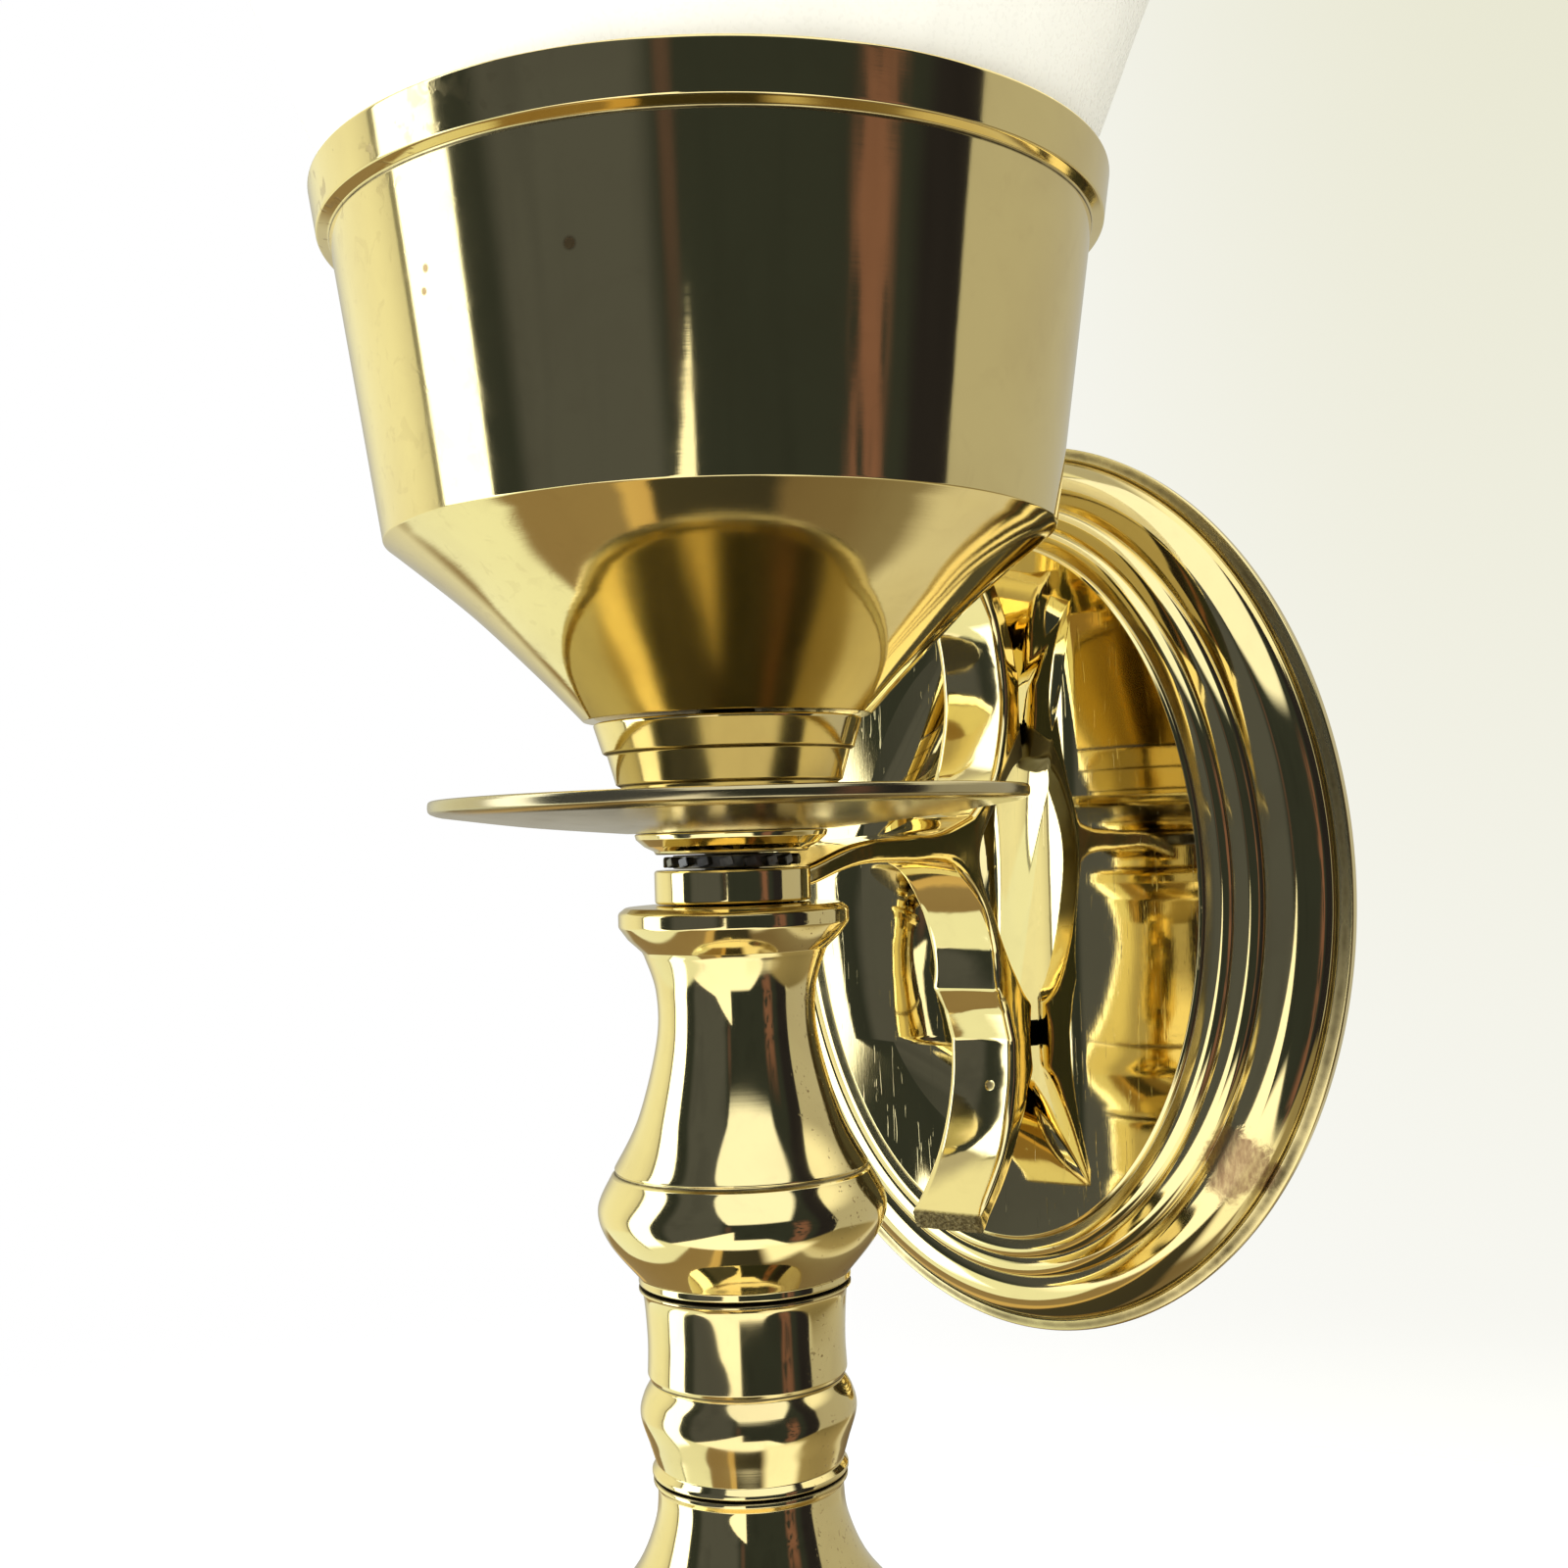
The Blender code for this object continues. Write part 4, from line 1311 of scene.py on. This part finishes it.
def studio_world(yaw):
    """Soft room light: a bright wall, a tall window on the left and a dark room in front.

    ahead and right are a direction's parts toward the camera's side and to the right of it.
    round_it is its angle from ahead to the right and lift its angle above the horizon, both in
    degrees.
    """
    world = bpy.data.worlds.new("studio")
    bpy.context.scene.world = world
    world.use_nodes = True
    tree = world.node_tree
    tree.nodes.clear()
    graph = Graph(tree)
    direction = graph.socket("ShaderNodeTexCoord", None, None, "Generated")
    x, y, z = graph.split(direction)
    ahead = x * math.sin(yaw) - y * math.cos(yaw)
    right = x * math.cos(yaw) + y * math.sin(yaw)
    round_it = right.math("ARCTAN2", ahead) * (180 / math.pi)
    lift = z.math("ARCSINE") * (180 / math.pi)

    values = {"Vector": direction, "Scale": 4.0, "Detail": 4.0}
    patchy = graph.value("ShaderNodeTexNoise", None, values, "Fac")
    wall_near = round_it.inside(-150.0, -101.0, 14.0)
    wall = graph.mix(wall_near, (0.52, 0.51, 0.45), (1.0, 1.02, 0.82))
    room = graph.mix(round_it.inside(-62.0, -15.0, 4.0), (0.034, 0.042, 0.046), (0.090, 0.100, 0.125))
    room = graph.mix(round_it.ramp(58.0, 66.0), room, (0.022, 0.021, 0.03))
    values = {"Vector": direction, "Scale": 9.0, "Detail": 3.0}
    torn = graph.value("ShaderNodeTexNoise", None, values, "Fac")
    brown = round_it.inside(42.0, 54.0, 3.0) * lift.inside(-38.0, 18.0, 6.0) * torn.ramp(0.36, 0.52)
    room = graph.mix(brown, room, (0.24, 0.125, 0.11))
    faint = round_it.inside(-12.0, -8.0, 1.5) * lift.inside(-1.0, 20.0, 5.0) * 0.6
    room = graph.mix(faint, room, (0.15, 0.09, 0.09))
    shade = patchy * 0.8 + 0.6
    room = graph.mix(shade.limit(), (0.0, 0.0, 0.0), room)

    # A pale ceiling above and a pale carpet below the dark room.
    up = right + z * 0.45
    ceiling = up.ramp(0.0, 0.04) * (1.0 - right.ramp(0.56, 0.62)) * lift.ramp(22.0, 27.0)
    room = graph.mix(ceiling, room, (1.25, 1.3, 1.35))
    down = z * -1.0
    left_edge = (right + down * 1.15 + 0.1).ramp(0.0, 0.03)
    narrow = 1.0 - (right + 0.098).ramp(-0.01, 0.01)
    wide = (-lift).ramp(24.0, 29.0) * (1.0 - (right - down * 0.75).ramp(-0.03, 0.03))
    carpet = left_edge * narrow.math("MAXIMUM", wide) * down.ramp(0.01, 0.04)
    room = graph.mix(carpet, room, (1.5, 1.5, 1.45))

    # The dark room takes up the front, and the bright wall the rest.
    inside = round_it.inside(-75.0, 79.0, 0.7)
    high = lift.ramp(18.0, 34.0) * right.ramp(0.2, 0.45)
    low = (-lift).ramp(16.0, 28.0) * right.ramp(0.55, 0.7)
    wall = graph.mix(high.math("MAXIMUM", low), wall, (1.25, 1.25, 1.1))
    colour = graph.mix(inside, wall, room)
    boards = graph.socket("ShaderNodeValToRGB", {"stops": BOARDS}, {0: right * 0.5 + 0.5})
    below = down.ramp(0.28, 0.38) * (down - ahead * 0.9).ramp(0.18, 0.28)
    colour = graph.mix(below, colour, boards)
    lit = down.ramp(0.6, 0.75) * ahead.ramp(0.15, 0.3) * right.ramp(0.15, 0.3)
    colour = graph.mix(lit, colour, (1.3, 1.3, 1.15))
    pane = round_it.inside(-98.0, -75.5, 0.6) * lift.inside(-40.0, 50.0, 3.0)
    colour = graph.mix(pane, colour, (2.6, 2.8, 3.1))
    jamb = round_it.inside(-101.0, -98.6, 0.5) * lift.inside(-42.0, 52.0, 3.0)
    colour = graph.mix(jamb * 0.75, colour, (0.12, 0.12, 0.10))

    seen = graph.value("ShaderNodeLightPath", None, None, "Is Camera Ray")
    creamy = right.ramp(-0.1, 0.4) * (z + 0.6).limit()
    pale = graph.mix(creamy, (1.0, 1.0, 1.0), (0.81, 0.80, 0.64))
    final = graph.mix(seen, colour, pale)
    background = graph.socket("ShaderNodeBackground", None, {"Color": final, "Strength": 1.0})
    graph.node("ShaderNodeOutputWorld", None, {"Surface": background})
    return world


def soft_box(name, place, target, size, power):
    """A large soft light that lights the glass and the floor but shows in no reflection."""
    data = bpy.data.lights.new(name, "AREA")
    data.shape = "SQUARE"
    data.size = size
    data.energy = power
    light = link(name, data)
    light.location = place
    light.rotation_euler = (Vector(target) - Vector(place)).to_track_quat("-Z", "Y").to_euler()
    light.visible_glossy = False
    light.visible_camera = False
    return light


def pale_floor(drop):
    """A wide pale floor that fades out into the pale background."""
    shape = bmesh.new()
    bmesh.ops.create_circle(shape, cap_ends=True, segments=96, radius=1.6)
    mesh = mesh_from(shape, "floor")
    mesh.transform(Matrix.Translation((0, 0, -drop)))
    floor = link("floor", mesh)
    material, shader, graph, place = new_material("pale_floor")
    x, y, _ = graph.split(place)
    away = (x * x + y * y) ** 0.5
    shader.inputs["Base Color"].default_value = (0.93, 0.925, 0.90, 1.0)
    shader.inputs["Roughness"].default_value = 0.9
    clear = graph.socket("ShaderNodeBsdfTransparent")
    values = {0: away.ramp(0.15, 1.5), 1: shader.outputs[0], 2: clear}
    blend = graph.socket("ShaderNodeMixShader", None, values)
    graph.tree.links.new(blend, graph.tree.nodes["Material Output"].inputs["Surface"])
    mesh.materials.append(material)
    floor.visible_glossy = False
    return floor


class SCONCE_OT_stage(bpy.types.Operator):
    """Add the floor, the light and the camera"""

    bl_idname = "sconce.stage"
    bl_label = "Stage"

    def execute(self, context):
        settings = context.scene.sconce_stage
        studio_world(settings.camera_yaw)
        pale_floor(settings.floor_drop)
        middle = (0, -REACH * MM, 0.05)
        soft_box("window_box", (-1.3, -0.9, 0.9), middle, 1.4, 28.0)
        soft_box("fill_box", (0.9, -1.5, 0.5), middle, 1.6, 28.0)
        soft_box("back_box", (0.6, 1.5, 0.9), middle, 1.6, 16.0)
        camera = bpy.data.cameras.new("camera")
        camera.lens = settings.lens
        camera.sensor_width = 36.0
        camera.clip_start = 0.01
        eye = link("camera", camera)
        yaw, pitch, roll = settings.camera_yaw, settings.camera_pitch, settings.camera_roll
        turn = Matrix.Rotation(yaw, 4, "Z") @ Matrix.Rotation(math.pi / 2 + pitch, 4, "X")
        turn @= Matrix.Rotation(roll, 4, "Z")
        eye.matrix_world = Matrix.Translation(settings.camera_place) @ turn
        context.scene.camera = eye
        context.scene.view_settings.view_transform = "Standard"
        context.scene.view_settings.look = "None"
        return {"FINISHED"}


class SCONCE_PT_build(bpy.types.Panel):
    """Lists the sconce's pieces in the sidebar"""

    bl_label = "Wall Sconce"
    bl_idname = "SCONCE_PT_build"
    bl_space_type = "VIEW_3D"
    bl_region_type = "UI"
    bl_category = "Sconce"

    def draw(self, context):
        for operator in OPERATORS:
            self.layout.operator(operator.bl_idname)
        for group_name in GROUPS:
            box = self.layout.box()
            group = getattr(context.scene, group_name)
            for name in group.bl_rna.properties.keys():
                if name not in ("rna_type", "name"):
                    box.prop(group, name)


GROUPS = {
    "sconce_plate": SconcePlate,
    "sconce_turning": SconceTurning,
    "sconce_bracket": SconceBracket,
    "sconce_finish": SconceFinish,
    "sconce_stage": SconceStage,
}
OPERATORS = (
    SCONCE_OT_wall_plate,
    SCONCE_OT_hanger_strap,
    SCONCE_OT_foot_fasteners,
    SCONCE_OT_bracket,
    SCONCE_OT_cup,
    SCONCE_OT_shade,
    SCONCE_OT_candle_socket,
    SCONCE_OT_neck_and_pan,
    SCONCE_OT_rod_hardware,
    SCONCE_OT_stem,
    SCONCE_OT_foot_cap_and_finial,
    SCONCE_OT_stage,
)


def register():
    for cls in (*GROUPS.values(), *OPERATORS, SCONCE_PT_build):
        bpy.utils.register_class(cls)
    for name, group in GROUPS.items():
        setattr(bpy.types.Scene, name, PointerProperty(type=group))


def unregister():
    for name in GROUPS:
        delattr(bpy.types.Scene, name)
    for cls in reversed((*GROUPS.values(), *OPERATORS, SCONCE_PT_build)):
        bpy.utils.unregister_class(cls)


def main():
    register()
    bpy.ops.sconce.wall_plate()
    bpy.ops.sconce.hanger_strap()
    bpy.ops.sconce.foot_fasteners()
    bpy.ops.sconce.bracket()
    bpy.ops.sconce.cup()
    bpy.ops.sconce.shade()
    bpy.ops.sconce.candle_socket()
    bpy.ops.sconce.neck_and_pan()
    bpy.ops.sconce.rod_hardware()
    bpy.ops.sconce.stem()
    bpy.ops.sconce.foot_cap_and_finial()
    bpy.ops.sconce.stage()


if __name__ == "__main__":
    main()
